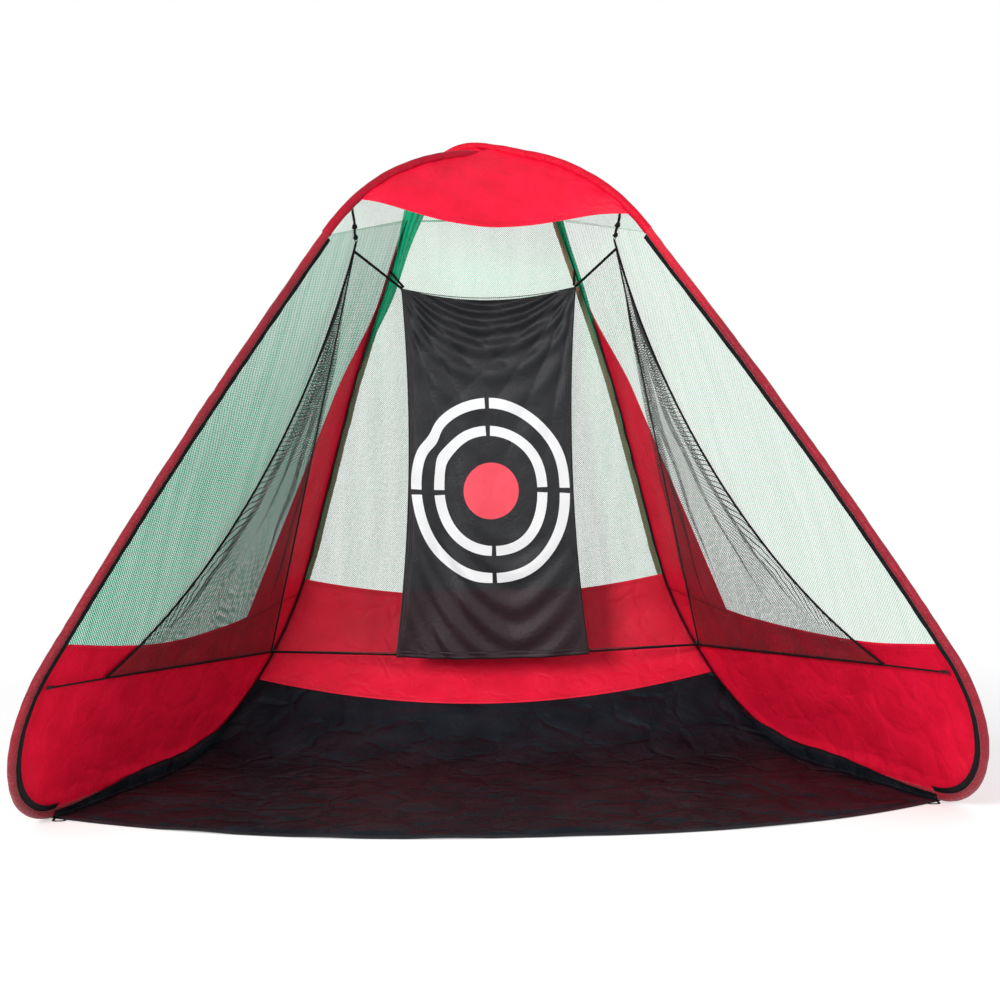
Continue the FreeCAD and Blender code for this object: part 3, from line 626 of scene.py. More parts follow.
def say_sheet(obj, held, rests_on, flat, pieces=()):
    """Declares a sheet by the size it was cut to."""
    size, area = cut_of(flat)
    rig.sheet(obj, flat=size, held=held, rests_on=rests_on, area=area, with_pieces=pieces)


def cut_of(flat):
    """The size and area of a cut from its own coordinates."""
    d1 = flat[1:, 1:] - flat[:-1, :-1]
    d2 = flat[1:, :-1] - flat[:-1, 1:]
    area = np.abs(d1[..., 0] * d2[..., 1] - d1[..., 1] * d2[..., 0]).sum() / 2
    return (float(np.ptp(flat[..., 0])), float(np.ptp(flat[..., 1]))), float(area)


def sheet_piece(name, places, flat, edge, material, slot, rides, held, rests, *nodes):
    """A sheet over a lattice of places. Cloth is given its thickness, netting stays a single face."""
    cloth = lattice(name, places, flat, edge)
    if not slot.endswith("_net"):
        give_thickness(cloth)
    dress(cloth, material, slot, rides, *nodes)
    say_sheet(cloth, held, rests, flat)


def bound_edge(name, line, radius, seed, rides, *nodes, hint=(0, 0, 1), rough=0.0005):
    """A bound edge or seam: a thin cord with an uneven skin."""
    cord = tube(name, line, hint, radius, CORD_SIDES, shape=lambda s, a: rough * rumple(s, a * 0.01, 0.03, seed))
    dress(cord, CORD_CLOTH, "black_cord", rides, *nodes)


# Shader groups and materials

def new_group(name, takes, gives):
    """An empty shader group. Its input Vector is a vector, and all other sockets are numbers."""
    group = bpy.data.node_groups.new(name, "ShaderNodeTree")
    for way, labels in (("INPUT", takes), ("OUTPUT", gives)):
        for label in labels:
            kind = "Vector" if label == "Vector" else "Float"
            group.interface.new_socket(label, in_out=way, socket_type="NodeSocket" + kind)
    return group, group.nodes.new("NodeGroupInput").outputs, group.nodes.new("NodeGroupOutput").inputs


def node(tree, kind, settings=None, **inputs):
    """A node with its settings, each input either a value or another node's output."""
    made = tree.nodes.new("ShaderNode" + kind)
    for label, value in (settings or {}).items():
        setattr(made, label, value)
    for label, value in inputs.items():
        key = int(label[1:]) if label[0] == "_" and label[1:].isdigit() else label.replace("_", " ")
        if isinstance(value, bpy.types.NodeSocket):
            tree.links.new(value, made.inputs[key])
        else:
            made.inputs[key].default_value = value
    return made


def maths(tree, operation, a, b=0.0, c=0.0):
    return node(tree, "Math", {"operation": operation}, _0=a, _1=b, _2=c).outputs[0]


def vector_maths(tree, operation, a, b=(0, 0, 0), scale=1.0):
    return node(tree, "VectorMath", {"operation": operation}, _0=a, _1=b, _3=scale).outputs[0]


def mix_colour(tree, share, a, b):
    return node(tree, "Mix", {"data_type": "RGBA"}, _0=share, _6=a, _7=b).outputs[2]


def ranged(tree, value, low, high, to=1.0):
    """0 where value is at low, and to where it is at high."""
    return node(tree, "MapRange", Value=value, From_Min=low, From_Max=high, To_Max=to).outputs[0]


def part(tree, vector, axis):
    return node(tree, "SeparateXYZ", _0=vector).outputs[axis]


def noise(tree, vector, scale, detail):
    return node(tree, "TexNoise", Vector=vector, Scale=scale, Detail=detail).outputs


def weave_group():
    """Plain weave: crossing threads at a pitch, as a height from 0 to 1."""
    group, start, end = new_group("Plain weave", ("Vector", "Pitch"), ("Height",))
    cells = vector_maths(group, "SCALE", start["Vector"], scale=maths(group, "DIVIDE", 2 * math.pi, start["Pitch"]))
    woven = maths(group, "MULTIPLY", *(maths(group, "SINE", part(group, cells, axis)) for axis in (0, 1)))
    group.links.new(maths(group, "MULTIPLY_ADD", woven, 0.5, 0.5), end["Height"])
    return group


def crumple_group():
    """The small creases that packed cloth keeps, as a height, and where it has faded."""
    group, start, end = new_group("Crumpled cloth", ("Vector", "Size"), ("Height", "Fading"))
    soft = noise(group, start["Vector"], start["Size"], 3.0)
    place = vector_maths(group, "ADD", start["Vector"], vector_maths(group, "SCALE", soft["Color"], scale=0.16))
    folds = node(group, "TexVoronoi", {"feature": "DISTANCE_TO_EDGE"}, Vector=place, Scale=start["Size"])
    ridge = ranged(group, folds.outputs["Distance"], 0.0, 0.16)
    fine = noise(group, start["Vector"], maths(group, "MULTIPLY", start["Size"], 3.1), 4.0)
    height = maths(group, "MULTIPLY_ADD", fine["Fac"], 0.5, ridge)
    group.links.new(maths(group, "MULTIPLY_ADD", soft["Fac"], 1.2, height), end["Height"])
    group.links.new(soft["Fac"], end["Fading"])
    return group


def mesh_group():
    """Knitted netting: where its threads run, from the cloth's own coordinates."""
    group, start, end = new_group("Net threads", ("Vector", "Pitch", "Thread"), ("Mask", "Height"))
    shift = vector_maths(group, "SCALE", noise(group, start["Vector"], 26.0, 1.0)["Color"], scale=0.004)
    place = vector_maths(group, "ADD", start["Vector"], shift)
    turned = node(group, "VectorRotate", {"rotation_type": "Z_AXIS"}, Vector=place, Angle=math.radians(45))
    cells = vector_maths(group, "SCALE", turned.outputs[0], scale=maths(group, "DIVIDE", 1.0, start["Pitch"]))
    away = vector_maths(group, "SUBTRACT", vector_maths(group, "FRACTION", cells), (0.5, 0.5, 0.5))
    away = vector_maths(group, "ABSOLUTE", away)
    nearest = maths(group, "MAXIMUM", part(group, away, 0), part(group, away, 1))
    thread_side = maths(group, "MULTIPLY_ADD", start["Thread"], -0.5, 0.5)
    group.links.new(maths(group, "GREATER_THAN", nearest, thread_side), end["Mask"])
    group.links.new(nearest, end["Height"])
    return group


def stitch_group():
    """Two rows of stitches beside a border: a mask from the distance across and the place along."""
    group, start, end = new_group("Stitch rows", ("Along", "Across", "First", "Second"), ("Mask", "Dip"))
    nearest = maths(group, "MINIMUM", *(
        maths(group, "ABSOLUTE", maths(group, "SUBTRACT", start["Across"], start[row])) for row in ("First", "Second")))
    beat = maths(group, "FRACT", maths(group, "DIVIDE", start["Along"], 0.006))
    dash = maths(group, "LESS_THAN", beat, 0.72)
    group.links.new(maths(group, "MULTIPLY", dash, maths(group, "LESS_THAN", nearest, 0.0008)), end["Mask"])
    group.links.new(ranged(group, nearest, 0.0, 0.003), end["Dip"])
    return group


WEAVE, CRUMPLE, THREADS, STITCHES = weave_group(), crumple_group(), mesh_group(), stitch_group()


def use(tree, group, **inputs):
    return node(tree, "Group", {"node_tree": group}, **inputs).outputs


def new_material(name, roughness, sheen=0.0, coat=0.0, specular=0.5, metallic=0.0):
    material = bpy.data.materials.new(name)
    material.use_nodes = True
    shader = material.node_tree.nodes["Principled BSDF"]
    for label, value in (("Roughness", roughness), ("Sheen Weight", sheen), ("Coat Weight", coat),
                         ("Specular IOR Level", specular), ("Metallic", metallic)):
        shader.inputs[label].default_value = value
    return material, material.node_tree, shader


def surface(tree, shader, colour, height, strength=1.0, distance=1.0):
    """Joins a colour and a height to the shader."""
    tree.links.new(colour, shader.inputs["Base Color"])
    bump = node(tree, "Bump", Height=height, Strength=strength, Distance=distance)
    tree.links.new(bump.outputs[0], shader.inputs["Normal"])


def cloth_uv(tree):
    return node(tree, "UVMap", {"uv_map": "Cloth"}).outputs[0]


def object_place(tree):
    return node(tree, "TexCoord").outputs["Object"]


def border_distance(tree):
    return node(tree, "Attribute", {"attribute_name": "edge"}).outputs["Fac"]


def cloth_material(name, colour, faded, roughness, crumple, crumple_size, weave_pitch, hem=True, tint=None, **finish):
    """Woven cloth with small creases, faded places and, on sheets, stitched hems.

    tint = (colour, low, high) turns the cloth to that colour from one height to another: on the flat cut of a
    sheet, and above the ground on a sleeve.
    """
    material, tree, shader = new_material(name, roughness, **finish)
    uv = cloth_uv(tree)
    weave = use(tree, WEAVE, Vector=uv, Pitch=weave_pitch)["Height"]
    folds = use(tree, CRUMPLE, Vector=uv, Size=crumple_size)
    base = mix_colour(tree, ranged(tree, folds["Fading"], 0.35, 0.7), colour, faded)
    if tint:
        other, low, high = tint
        up = part(tree, uv, 1) if hem else part(tree, object_place(tree), 2)
        base = mix_colour(tree, ranged(tree, up, low, high), base, other)
    woven = mix_colour(tree, maths(tree, "MULTIPLY", weave, 0.12), base, (0, 0, 0, 1))
    height = maths(tree, "MULTIPLY", folds["Height"], crumple)
    height = maths(tree, "MULTIPLY_ADD", weave, 0.00012, height)
    if hem:
        rows = use(tree, STITCHES, Along=part(tree, uv, 0), Across=border_distance(tree), First=0.010, Second=0.016)
        woven = mix_colour(tree, maths(tree, "MULTIPLY", rows["Mask"], 0.35), woven, (0.02, 0.0, 0.0, 1))
        height = maths(tree, "MULTIPLY_ADD", rows["Dip"], 0.0006, height)
    surface(tree, shader, woven, height)
    return material


def net_material(name, colour, other, pitch, thread, streaks, thinner=None):
    """Netting whose threads show and whose holes are open, denser in upright streaks, with a turned edge.

    thinner = (low, high, amount) takes that much off the threads between two heights on the flat cloth.
    """
    material, tree, shader = new_material(name, 0.62, specular=0.2)
    uv = cloth_uv(tree)
    long_way = node(tree, "Mapping", Vector=uv, Scale=(22.0, 1.6, 1.0)).outputs[0]
    density = maths(tree, "MULTIPLY_ADD", noise(tree, long_way, 1.0, 3.0)["Fac"], 2 * streaks, thread - streaks)
    if thinner:
        density = maths(tree, "SUBTRACT", density, ranged(tree, part(tree, uv, 1), *thinner))
    threads = use(tree, THREADS, Vector=uv, Pitch=pitch, Thread=density)
    edge = maths(tree, "LESS_THAN", border_distance(tree), NET_EDGE)
    tree.links.new(maths(tree, "MAXIMUM", threads["Mask"], edge), shader.inputs["Alpha"])
    tone = mix_colour(tree, noise(tree, uv, 9.0, 2.0)["Fac"], colour, other)
    surface(tree, shader, tone, threads["Height"], 0.4, 0.0006)
    return material


def tape_material(name, colour, roughness, rows_at, pitch=0.0016):
    """Woven tape with a ribbed face and a row of stitches beside each edge."""
    material, tree, shader = new_material(name, roughness, specular=0.12)
    uv = cloth_uv(tree)
    across = maths(tree, "ABSOLUTE", part(tree, uv, 1))
    rows = use(tree, STITCHES, Along=part(tree, uv, 0), Across=across, First=rows_at, Second=rows_at + 0.0001)
    lighter = tuple(c * 2.0 + 0.004 for c in colour[:3]) + (1,)
    base = mix_colour(tree, maths(tree, "MULTIPLY", noise(tree, uv, 40.0, 4.0)["Fac"], 0.7), colour, lighter)
    base = mix_colour(tree, maths(tree, "MULTIPLY", rows["Mask"], 0.8), base, lighter)
    height = maths(tree, "MULTIPLY", use(tree, WEAVE, Vector=uv, Pitch=pitch)["Height"], 0.00025)
    surface(tree, shader, base, maths(tree, "MULTIPLY_ADD", rows["Dip"], 0.0003, height))
    return material


def plastic_material(name, colour, roughness):
    material, tree, shader = new_material(name, roughness, coat=0.1)
    place = object_place(tree)
    grain = noise(tree, place, 900.0, 2.0)["Fac"]
    pale = tuple(c + 0.03 for c in colour[:3]) + (1,)
    surface(tree, shader, mix_colour(tree, noise(tree, place, 120.0, 5.0)["Fac"], colour, pale), grain, 0.3, 0.0003)
    return material


def steel_material(name, colour):
    material, tree, shader = new_material(name, 0.34, metallic=1.0)
    drawn = noise(tree, object_place(tree), 260.0, 5.0)["Fac"]
    dark = tuple(c * 0.7 for c in colour[:3]) + (1,)
    surface(tree, shader, mix_colour(tree, drawn, colour, dark), drawn, 0.2, 0.0002)
    return material


def sleeve_material(name, colour, faded, specular, **finish):
    return cloth_material(name, colour, faded, 0.46, 0.0014, 22.0, 0.0011, hem=False, specular=specular, **finish)


RED, RED_FADED = (0.93, 0.0068, 0.045, 1), (0.78, 0.0050, 0.033, 1)
CROWN_RED = (0.80, 0.0036, 0.032, 1)
RED_CLOTH = cloth_material("Red satin cloth", RED, RED_FADED, 0.50, 0.0013, 9.0, 0.0011, specular=0.22)
RED_SLEEVES = {
    "left": sleeve_material("Red sleeve cloth, in shade", (0.29, 0.0024, 0.016, 1), (0.22, 0.0018, 0.012, 1), 0.28,
                            sheen=0.18, tint=((0.47, 0.0028, 0.024, 1), 1.68, 1.92)),
    "right": sleeve_material("Red sleeve cloth", (0.36, 0.0036, 0.022, 1), (0.27, 0.0026, 0.016, 1), 0.28,
                             sheen=0.18, tint=(CROWN_RED, 1.48, 1.84)),
    "crown_sleeve_low": sleeve_material("Red crown sleeve cloth, in shade", (0.48, 0.0028, 0.024, 1),
                                        (0.39, 0.0023, 0.018, 1), 0.22),
    "crown_sleeve_high": sleeve_material("Red crown sleeve cloth", CROWN_RED, (0.68, 0.0030, 0.026, 1), 0.18)}
FLOOR_CLOTH = cloth_material("Black coated floor", (0.0075, 0.0100, 0.0140, 1), (0.0160, 0.0190, 0.0250, 1), 0.40,
                             0.0075, 6.0, 0.0014, specular=0.09)
FLOOR_HEM = cloth_material("Black floor hem", (0.014, 0.015, 0.019, 1), (0.026, 0.028, 0.034, 1), 0.45, 0.0016,
                           9.0, 0.0014, hem=False, specular=0.2)
TARGET_CLOTH = cloth_material("Black target cloth", (0.0115, 0.0120, 0.0145, 1), (0.0175, 0.0180, 0.0215, 1), 0.42,
                              0.0004, 16.0, 0.0012, sheen=0.05, specular=0.30,
                              tint=((0.022, 0.0085, 0.0125, 1), 0.597, 0.573))
GREEN_NETS = {
    "left": net_material("Green netting, in shade", (0.008, 0.420, 0.215, 1), (0.030, 0.560, 0.320, 1), 0.0085,
                         0.49, 0.13, (1.10, 2.20, 0.20)),
    "right": net_material("Green netting", (0.100, 0.510, 0.225, 1), (0.160, 0.600, 0.300, 1), 0.0085, 0.15, 0.07)}
GREEN_NET_FAR = net_material("Green netting, rear", (0.100, 0.500, 0.235, 1), (0.160, 0.590, 0.310, 1), 0.0052,
                             0.18, 0.06)
GATHERED_NET = net_material("Gathered green netting", (0.004, 0.420, 0.200, 1), (0.010, 0.560, 0.300, 1), 0.0040,
                            0.84, 0.10)
BLACK_NET = net_material("Black netting", (0.022, 0.023, 0.023, 1), (0.046, 0.048, 0.048, 1), 0.0062, 0.23, 0.11,
                         (0.80, 1.80, 0.10))
BLACK_NET_BACK = net_material("Black netting, back", (0.034, 0.035, 0.035, 1), (0.060, 0.062, 0.062, 1), 0.0062,
                              0.048, 0.03)
TAPE_CLOTH = tape_material("Black binding tape", (0.0075, 0.0065, 0.0080, 1), 0.65, 0.0105)
STRAP_CLOTH = tape_material("Black strap", (0.006, 0.006, 0.007, 1), 0.65, 0.0045)
CORD_CLOTH = tape_material("Black bound edge", (0.0045, 0.0045, 0.0050, 1), 0.7, 0.004, 0.0012)
ELASTIC_CLOTH = tape_material("Black elastic", (0.010, 0.010, 0.011, 1), 0.5, 0.5, 0.0018)
WHITE_PRINT, RED_PRINT = (
    cloth_material(name, colour, worn, 0.5, 0.0006, 9.0, 0.0012, hem=False, specular=0.3) for name, colour, worn in (
        ("White print", (0.90, 0.90, 0.91, 1), (0.84, 0.84, 0.86, 1)),
        ("Red print", (0.95, 0.085, 0.125, 1), (0.90, 0.070, 0.105, 1))))
HOOK_PLASTIC = plastic_material("Black moulded plastic", (0.012, 0.012, 0.012, 1), 0.35)
ROD_STEEL = steel_material("Spring steel", (0.52, 0.53, 0.55, 1))
FERRULE_STEEL = steel_material("Crimped steel", (0.62, 0.62, 0.64, 1))


# Hoop: sleeves and tape

def sleeve_shape(seed):
    """Loose sleeve cloth: long soft wrinkles, small puckers and a ridge where the tape is sewn in."""
    def shape(s, a):
        wrinkles = 0.0010 * rumple(s, a * 0.02, 0.16, seed) + 0.0006 * rumple(s, a * 0.012, 0.05, seed + 1)
        pucker = 0.0006 * np.sin(s * 2 * math.pi / 0.031 + 2 * np.sin(s * 9)) * np.maximum(np.cos(a), 0) ** 2
        return wrinkles + pucker
    return shape


def crown_shape(line, seed):
    """The crown's sleeves are fuller than the hoops', but pressed slim where they cross."""
    along = lengths(line)
    crossing = along[np.argmin(np.abs(line[:, 0]))]
    loose = sleeve_shape(seed)

    def shape(s, a):
        free = smooth((np.abs(s - crossing) - 0.02) / 0.08)
        return loose(s, a) * (0.3 + 0.7 * free) + 0.0038 * free
    return shape


def hoop_runs():
    """The hoop's front, ground and rear runs, by the names of their sleeves."""
    line = route(HOOP, HOOP_BENDS)
    grounded = np.where(line[:, 1] < 1e-6)[0]
    ends = [[FRONT_RUN_END, 0.0]], [[GROUND_RUN_END, 0.0]]
    return {"front_sleeve": even(np.concatenate([line[:grounded[0]], ends[0]])),
            "ground_sleeve": even(np.concatenate(ends)),
            "rear_sleeve": even(np.concatenate([ends[1], line[grounded[-1] + 1:]]))}


def sleeves():
    for side, seed in (("left", 11), ("right", 18)):
        for k, (name, line) in enumerate(hoop_runs().items()):
            skin = tube(side + "_" + name + "_cloth", on_side(line, side), inward_of(side), SLEEVE + 0.0008,
                        shape=sleeve_shape(seed + k))
            dress(skin, RED_SLEEVES[side], "sleeve", side + "_leaf", side + "_" + name)
    for name, line, seed in (("crown_sleeve_low", CROWN_LOW, 31), ("crown_sleeve_high", CROWN_HIGH, 37)):
        skin = tube(name + "_cloth", line, (0, 1, 0), SLEEVE - 0.0010, shape=crown_shape(line, seed))
        dress(skin, RED_SLEEVES[name], "sleeve", "middle", name)


def tapes():
    """The tape on the inside of each hoop. Along the ground the skirt and the floor's cuff hide it, so none is made."""
    line = inside(SLEEVE + TAPE / 2 - 0.001)
    grounded = np.where(line[:, 1] < SLEEVE + TAPE)[0]
    for side, seed in (("left", 51), ("right", 53)):
        for name, run, nodes in (("binding_tape_cloth", line[:grounded[0] + 10], [side + "_binding_tape"]),
                                 ("binding_tape_rear", line[grounded[-1] - 30:], [])):
            band = ribbon(side + "_" + name, on_side(run, side, TAPE_LIFT), inward_of(side), TAPE + 0.005,
                          TAPE_THICKNESS, lambda s: 0.0012 * rumple(s, 0, 0.11, seed), -SIGN[side] * TAPE_TILT)
            dress(band, TAPE_CLOTH, "tape", side + "_leaf", *nodes)


# Leaf sheets

LEFT_EDGE, RIGHT_EDGE, LEAF_FOOT, LEAF_TOP = span_of(SLEEVE - 0.001)


def skirt_top(u, side):
    """The line between side skirt and net, sagging, and drawn up at the front of the left leaf."""
    line = SKIRT_MIDDLE + (SKIRT_ENDS - SKIRT_MIDDLE) * ((u - REAR_U * 0.56) / (REAR_U * 0.5)) ** 2
    if side == "left":
        line = line + 0.050 * (1 - smooth((u - 0.30) / 0.75))
    sag_start = 0.8 if side == "left" else 0.35
    return line - 0.018 * smooth((u - sag_start) / 0.5) * smooth((2.0 - u) / 0.5)


def strip_line(v):
    """The front edge of the red strip up the rear run, which closes on the tape at its top."""
    plain = STRIP_FOOT + STRIP_SLOPE * (v - SKIRT_MIDDLE)
    close = smooth((v - 1.35) / (STRIP_TOP - 1.35))
    return plain + (RIGHT_EDGE(v) - plain) * close


def leaf_grid(columns, rows, low, high, left, right, bunch=1.0):
    """Leaf coordinates of a lattice between two heights and two edges, and each point's share across and up."""
    t, q = np.meshgrid(np.linspace(0, 1, columns), np.linspace(0, 1, rows) ** bunch)
    u = left(0.5) + (right(0.5) - left(0.5)) * t
    for _ in range(12):
        v = low(u) + (high(u) - low(u)) * q
        u = left(v) + (right(v) - left(v)) * t
    return u, v, t, q


def leaf_sheet(side, node_name, ending, grid, w, material, slot, held="stretched", rests="_binding_tape_cloth"):
    """A sheet in the plane of a leaf, moved inwards by w."""
    u, v, t, q = grid
    edge = rim(t, q, np.ptp(u, axis=1)[:, None], np.ptp(v, axis=0))
    name = side + "_" + node_name
    sheet_piece(name + ending, leaf(u, v, w - SHEET_BEHIND_TAPE, side), joined(u, v), edge, material, slot,
                side + "_leaf", held, [side + rests], name)


def skirts():
    """Side skirts: taut at the tape, with folds that run in from the corners."""
    for side, seed in (("left", 61), ("right", 71)):
        grid = leaf_grid(190, 60, lambda u: LEAF_FOOT, lambda u: skirt_top(u, side), LEFT_EDGE, RIGHT_EDGE, bunch=1.6)
        u, v, t, q = grid
        calm = border(t, 0.07) * border(q, 0.12)
        w = -0.010 * calm * (0.6 + 0.6 * rumple(u, v, 0.75, seed))
        w -= 0.0045 * calm * stretched_folds(u, v, math.radians(-28), 0.16, seed + 1)
        w -= 0.0035 * calm * creases(u, v, 0.34, seed + 2)
        w += 0.0016 * border(t, 0.01) * np.exp(-q * 9) * np.sin(u * 2 * math.pi / 0.071 + 3 * np.sin(u * 3))
        leaf_sheet(side, "side_skirt", "_cloth", grid, w, RED_CLOTH, "skirt")


def strips():
    """Red strips up the rear runs."""
    for side, seed in (("left", 81), ("right", 91)):
        grid = leaf_grid(34, 130, lambda u: skirt_top(u, side) - 0.010, lambda u: STRIP_TOP, strip_line, RIGHT_EDGE)
        u, v, t, q = grid
        w = 0.0018 - 0.005 * border(t, 0.3) * border(q, 0.1) * (0.7 + rumple(u, v * 0.3, 0.12, seed) * 0.7)
        leaf_sheet(side, "rear_strip", "_cloth", grid, w, RED_CLOTH, "skirt")


def side_nets():
    """Green side nets, up to the line between the crown's two ends."""
    for side, seed in (("left", 101), ("right", 111)):
        grid = leaf_grid(90, 110, lambda u: skirt_top(u, side) - 0.012, lambda u: LEAF_TOP,
                         LEFT_EDGE, lambda v: np.minimum(strip_line(v) + 0.012, RIGHT_EDGE(v)))
        u, v, t, q = grid
        w = -0.018 * border(t, 0.4) * border(q, 0.3) * (0.8 + 0.5 * rumple(u, v, 0.5, seed)) - 0.0012
        leaf_sheet(side, "side_net", "_mesh", grid, w, GREEN_NETS[side], "green_net")


# Inner net

def arc_through(a, b, c, count):
    """Points along the arc from a through b to c, all flat."""
    a, b, c = (np.array(p, float) for p in (a, b, c))
    d = 2 * (a[0] * (b[1] - c[1]) + b[0] * (c[1] - a[1]) + c[0] * (a[1] - b[1]))
    squares = [p @ p for p in (a, b, c)]
    x = (squares[0] * (b[1] - c[1]) + squares[1] * (c[1] - a[1]) + squares[2] * (a[1] - b[1])) / d
    y = (squares[0] * (c[0] - b[0]) + squares[1] * (a[0] - c[0]) + squares[2] * (b[0] - a[0])) / d
    centre = np.array([x, y])
    start, end = (math.atan2(*(p - centre)[::-1]) for p in (a, c))
    end = start + (end - start + math.pi) % (2 * math.pi) - math.pi
    angle = np.linspace(start, end, count)
    return centre + np.linalg.norm(a - centre) * np.stack([np.cos(angle), np.sin(angle)], axis=1)


WING_FRONT = arc_through(WING_TOP, WING_WAIST, WING_FRONT_FOOT, WING_ROWS)
WING_REAR = np.linspace(WING_TOP, WING_HEEL, WING_ROWS)


def wings():
    """The wings of the inner net hang from their top corners in folds that fan out to the hem."""
    t, q = shares(70, WING_ROWS)
    flat = between(WING_FRONT, WING_REAR, t)
    u, v = flat[..., 0], flat[..., 1]
    hem = even([WING_FRONT_FOOT, WING_HEEL]) - (0, CORD_DROP)
    for side, seed in (("left", 121), ("right", 131)):
        depth = border(t, 0.06) * smooth(q / 0.35) * (1 - smooth((q - 0.80) / 0.20))
        folds = np.sin(2 * math.pi * (t * 4.0 + 0.35 * rumple(t, q * 0.3, 0.5, seed)))
        w = WING_OFF + depth * (0.019 + 0.016 * folds + 0.004 * rumple(u, v, 0.2, seed + 1))
        leaf_sheet(side, "wing_net", "_mesh", (u, v, t, q), w, BLACK_NET, "black_net", "hung", "_hanger_strap_cloth")
        name = side + "_wing_"
        for ending, line, radius, more, rough, nodes in (
                ("front_cord_bound", even(WING_FRONT), FRONT_CORD, 0, 0.0004, [name + "front_cord"]),
                ("rear_seam", even(WING_REAR), REAR_SEAM, 4, 0.0004, []),
                ("hem_cord_bound", hem, HEM_CORD, 2, 0.0005, [name + "hem_cord"])):
            bound_edge(name + ending, on_side(line, side, WING_OFF), radius, seed + more, side + "_leaf", *nodes,
                       hint=inward_of(side), rough=rough)


def target_half(z):
    """Half the hanging sheet's width: drawn in at its middle."""
    share = (TARGET_TOP - z) / (TARGET_TOP - TARGET_BOTTOM)
    return (TARGET_HALF_TOP * (1 - share) + TARGET_HALF_BOTTOM * share
            - (0.5 * (TARGET_HALF_TOP + TARGET_HALF_BOTTOM) - TARGET_HALF_WAIST) * 4 * share * (1 - share))


def back_nets():
    """The inner net's back: a side panel from each wing to the target, and a panel behind the target."""
    rows, y, high = 90, TARGET_Y + BACK_NET_GAP, 1.3
    t, q = shares(40, rows)
    z = TARGET_TOP + (TARGET_BOTTOM + 0.012 - TARGET_TOP) * q
    half = target_half(z)
    seam = even(leaf(WING_REAR[2:, 0] - 0.002, WING_REAR[2:, 1], WING_OFF + 0.002), 0.01)
    seam = seam[np.linspace(0, len(seam) - 1, rows).astype(int)]
    for side, seed in (("left", 141), ("right", 151)):
        outer, inner = sided(seam, side), joined(TARGET_X + SIGN[side] * half[:, 0], y, z[:, 0])
        places = between(outer, inner, t)
        hang = border(t, 0.1) * border(q, 0.06)
        places[..., 1] += hang * (0.010 * np.sin(2 * math.pi * (t * 3.2 + 0.3 * rumple(t, q * 0.4, 0.6, seed))) - 0.004)
        edge = rim(t, q, np.linalg.norm(outer - inner, axis=1)[:, None], high)
        top = "top_binding_" + side
        sheet_piece("back_net_" + side + "_mesh", places, panel_flat(places), edge, BLACK_NET_BACK, "black_net",
                    "middle", "hung", [top + "_bound"], "back_net_" + side)
        bound_edge(top + "_bound", even([outer[0], inner[0]]), TOP_CORD, seed + 2, "middle", top)
    t, q = shares(50, rows)
    places = joined(TARGET_X + half * (2 * t - 1), y + 0.001 * rumple(t, q, 0.3, 157), z)
    places[..., 2] -= TARGET_SAG * 0.8 * (1 - q) ** 4 * (1 - (2 * t - 1) ** 2)
    sheet_piece("back_net_middle_mesh", places, places[..., [0, 2]], rim(t, q, 2 * half, high), BLACK_NET_BACK,
                "black_net", "middle", "hung", ["top_binding_left_bound"], "back_net_middle")
    heel = leaf(WING_HEEL[0] - 0.004, WING_HEEL[1], WING_OFF + 0.003)
    feet = [(TARGET_X + sign * TARGET_HALF_BOTTOM, y, TARGET_BOTTOM + 0.006) for sign in (-1, 1)]
    bound_edge("back_hem_cord_bound", route([heel, *feet, heel * MIRROR], [0.4, 0.4]), BACK_HEM_CORD, 159, "middle",
               "back_hem_cord")


def panel_flat(places):
    """A panel's own flat coordinates: along each row, and down its middle."""
    along = np.linalg.norm(np.diff(places, axis=1, prepend=places[:, :1]), axis=2).cumsum(axis=1)
    along -= along[:, -1:] * 0.5
    return joined(along, lengths(places[:, places.shape[1] // 2])[:, None])


# Middle sheets: one profile from the front edge up to the rear net

def profile():
    """The middle sheet's line from the front up, as (y, z) points."""
    inner, _ = aside(HOOP, HOOP_BENDS, REAR_INSET)
    foot, waist, top = (leaf(*p)[1:] for p in inner[3:])
    slope = (waist[0] - foot[0]) / (waist[1] - foot[1])
    base = (foot[0] + slope * (GROUND - foot[1]), GROUND)
    return route([(FRONT_Y, GROUND), base, waist, top], [PROFILE_BEND, REAR_WAIST_BEND], step=0.01)


PROFILE = profile()
PROFILE_LENGTH = lengths(PROFILE)


def profile_at(s):
    return np.interp(s, PROFILE_LENGTH, PROFILE[:, 0]), np.interp(s, PROFILE_LENGTH, PROFILE[:, 1])


def place_of_height(z):
    """How far along the profile it stands at a height, above the floor's flat part."""
    rising = PROFILE[:, 1] > 0.002
    return np.interp(z, PROFILE[rising, 1], PROFILE_LENGTH[rising])


def half_width(s):
    """Half the middle sheet's width at a place along the profile."""
    y, z = profile_at(s)
    flank = -leaf_x(y, z, 0.0030)
    ground = HALF_SPAN - (y - FRONT_Y) * math.tan(TOE_IN) - 0.0090 / math.cos(TOE_IN)
    return np.minimum(flank, ground)


def middle_grid(columns, rows, low, high):
    """Lattice places between two lines across the middle sheet, each given along the profile from x."""
    t, q = np.meshgrid(np.linspace(-1, 1, columns), np.linspace(0, 1, rows))
    x = t
    for _ in range(12):
        s = low(x) + (high(x) - low(x)) * q
        x = half_width(s) * t
    return x, s, t, q


def front_edge(x):
    """The floor's bowed front edge, along the profile. It is fuller on the right."""
    corner = leaf(FLOOR_CORNER_U, 0.0)
    share = np.clip(np.abs(x) / -corner[0], 0, 1)
    power = 2.2 + 0.6 * smooth((x + 0.3) / 0.8)
    return FLOOR_FRONT_Y + (corner[1] - FLOOR_FRONT_Y) * share ** power - FRONT_Y


def seam_line(x):
    return place_of_height(SEAM_MIDDLE + (SEAM_SIDE - SEAM_MIDDLE) * (x / 0.8) ** 2)


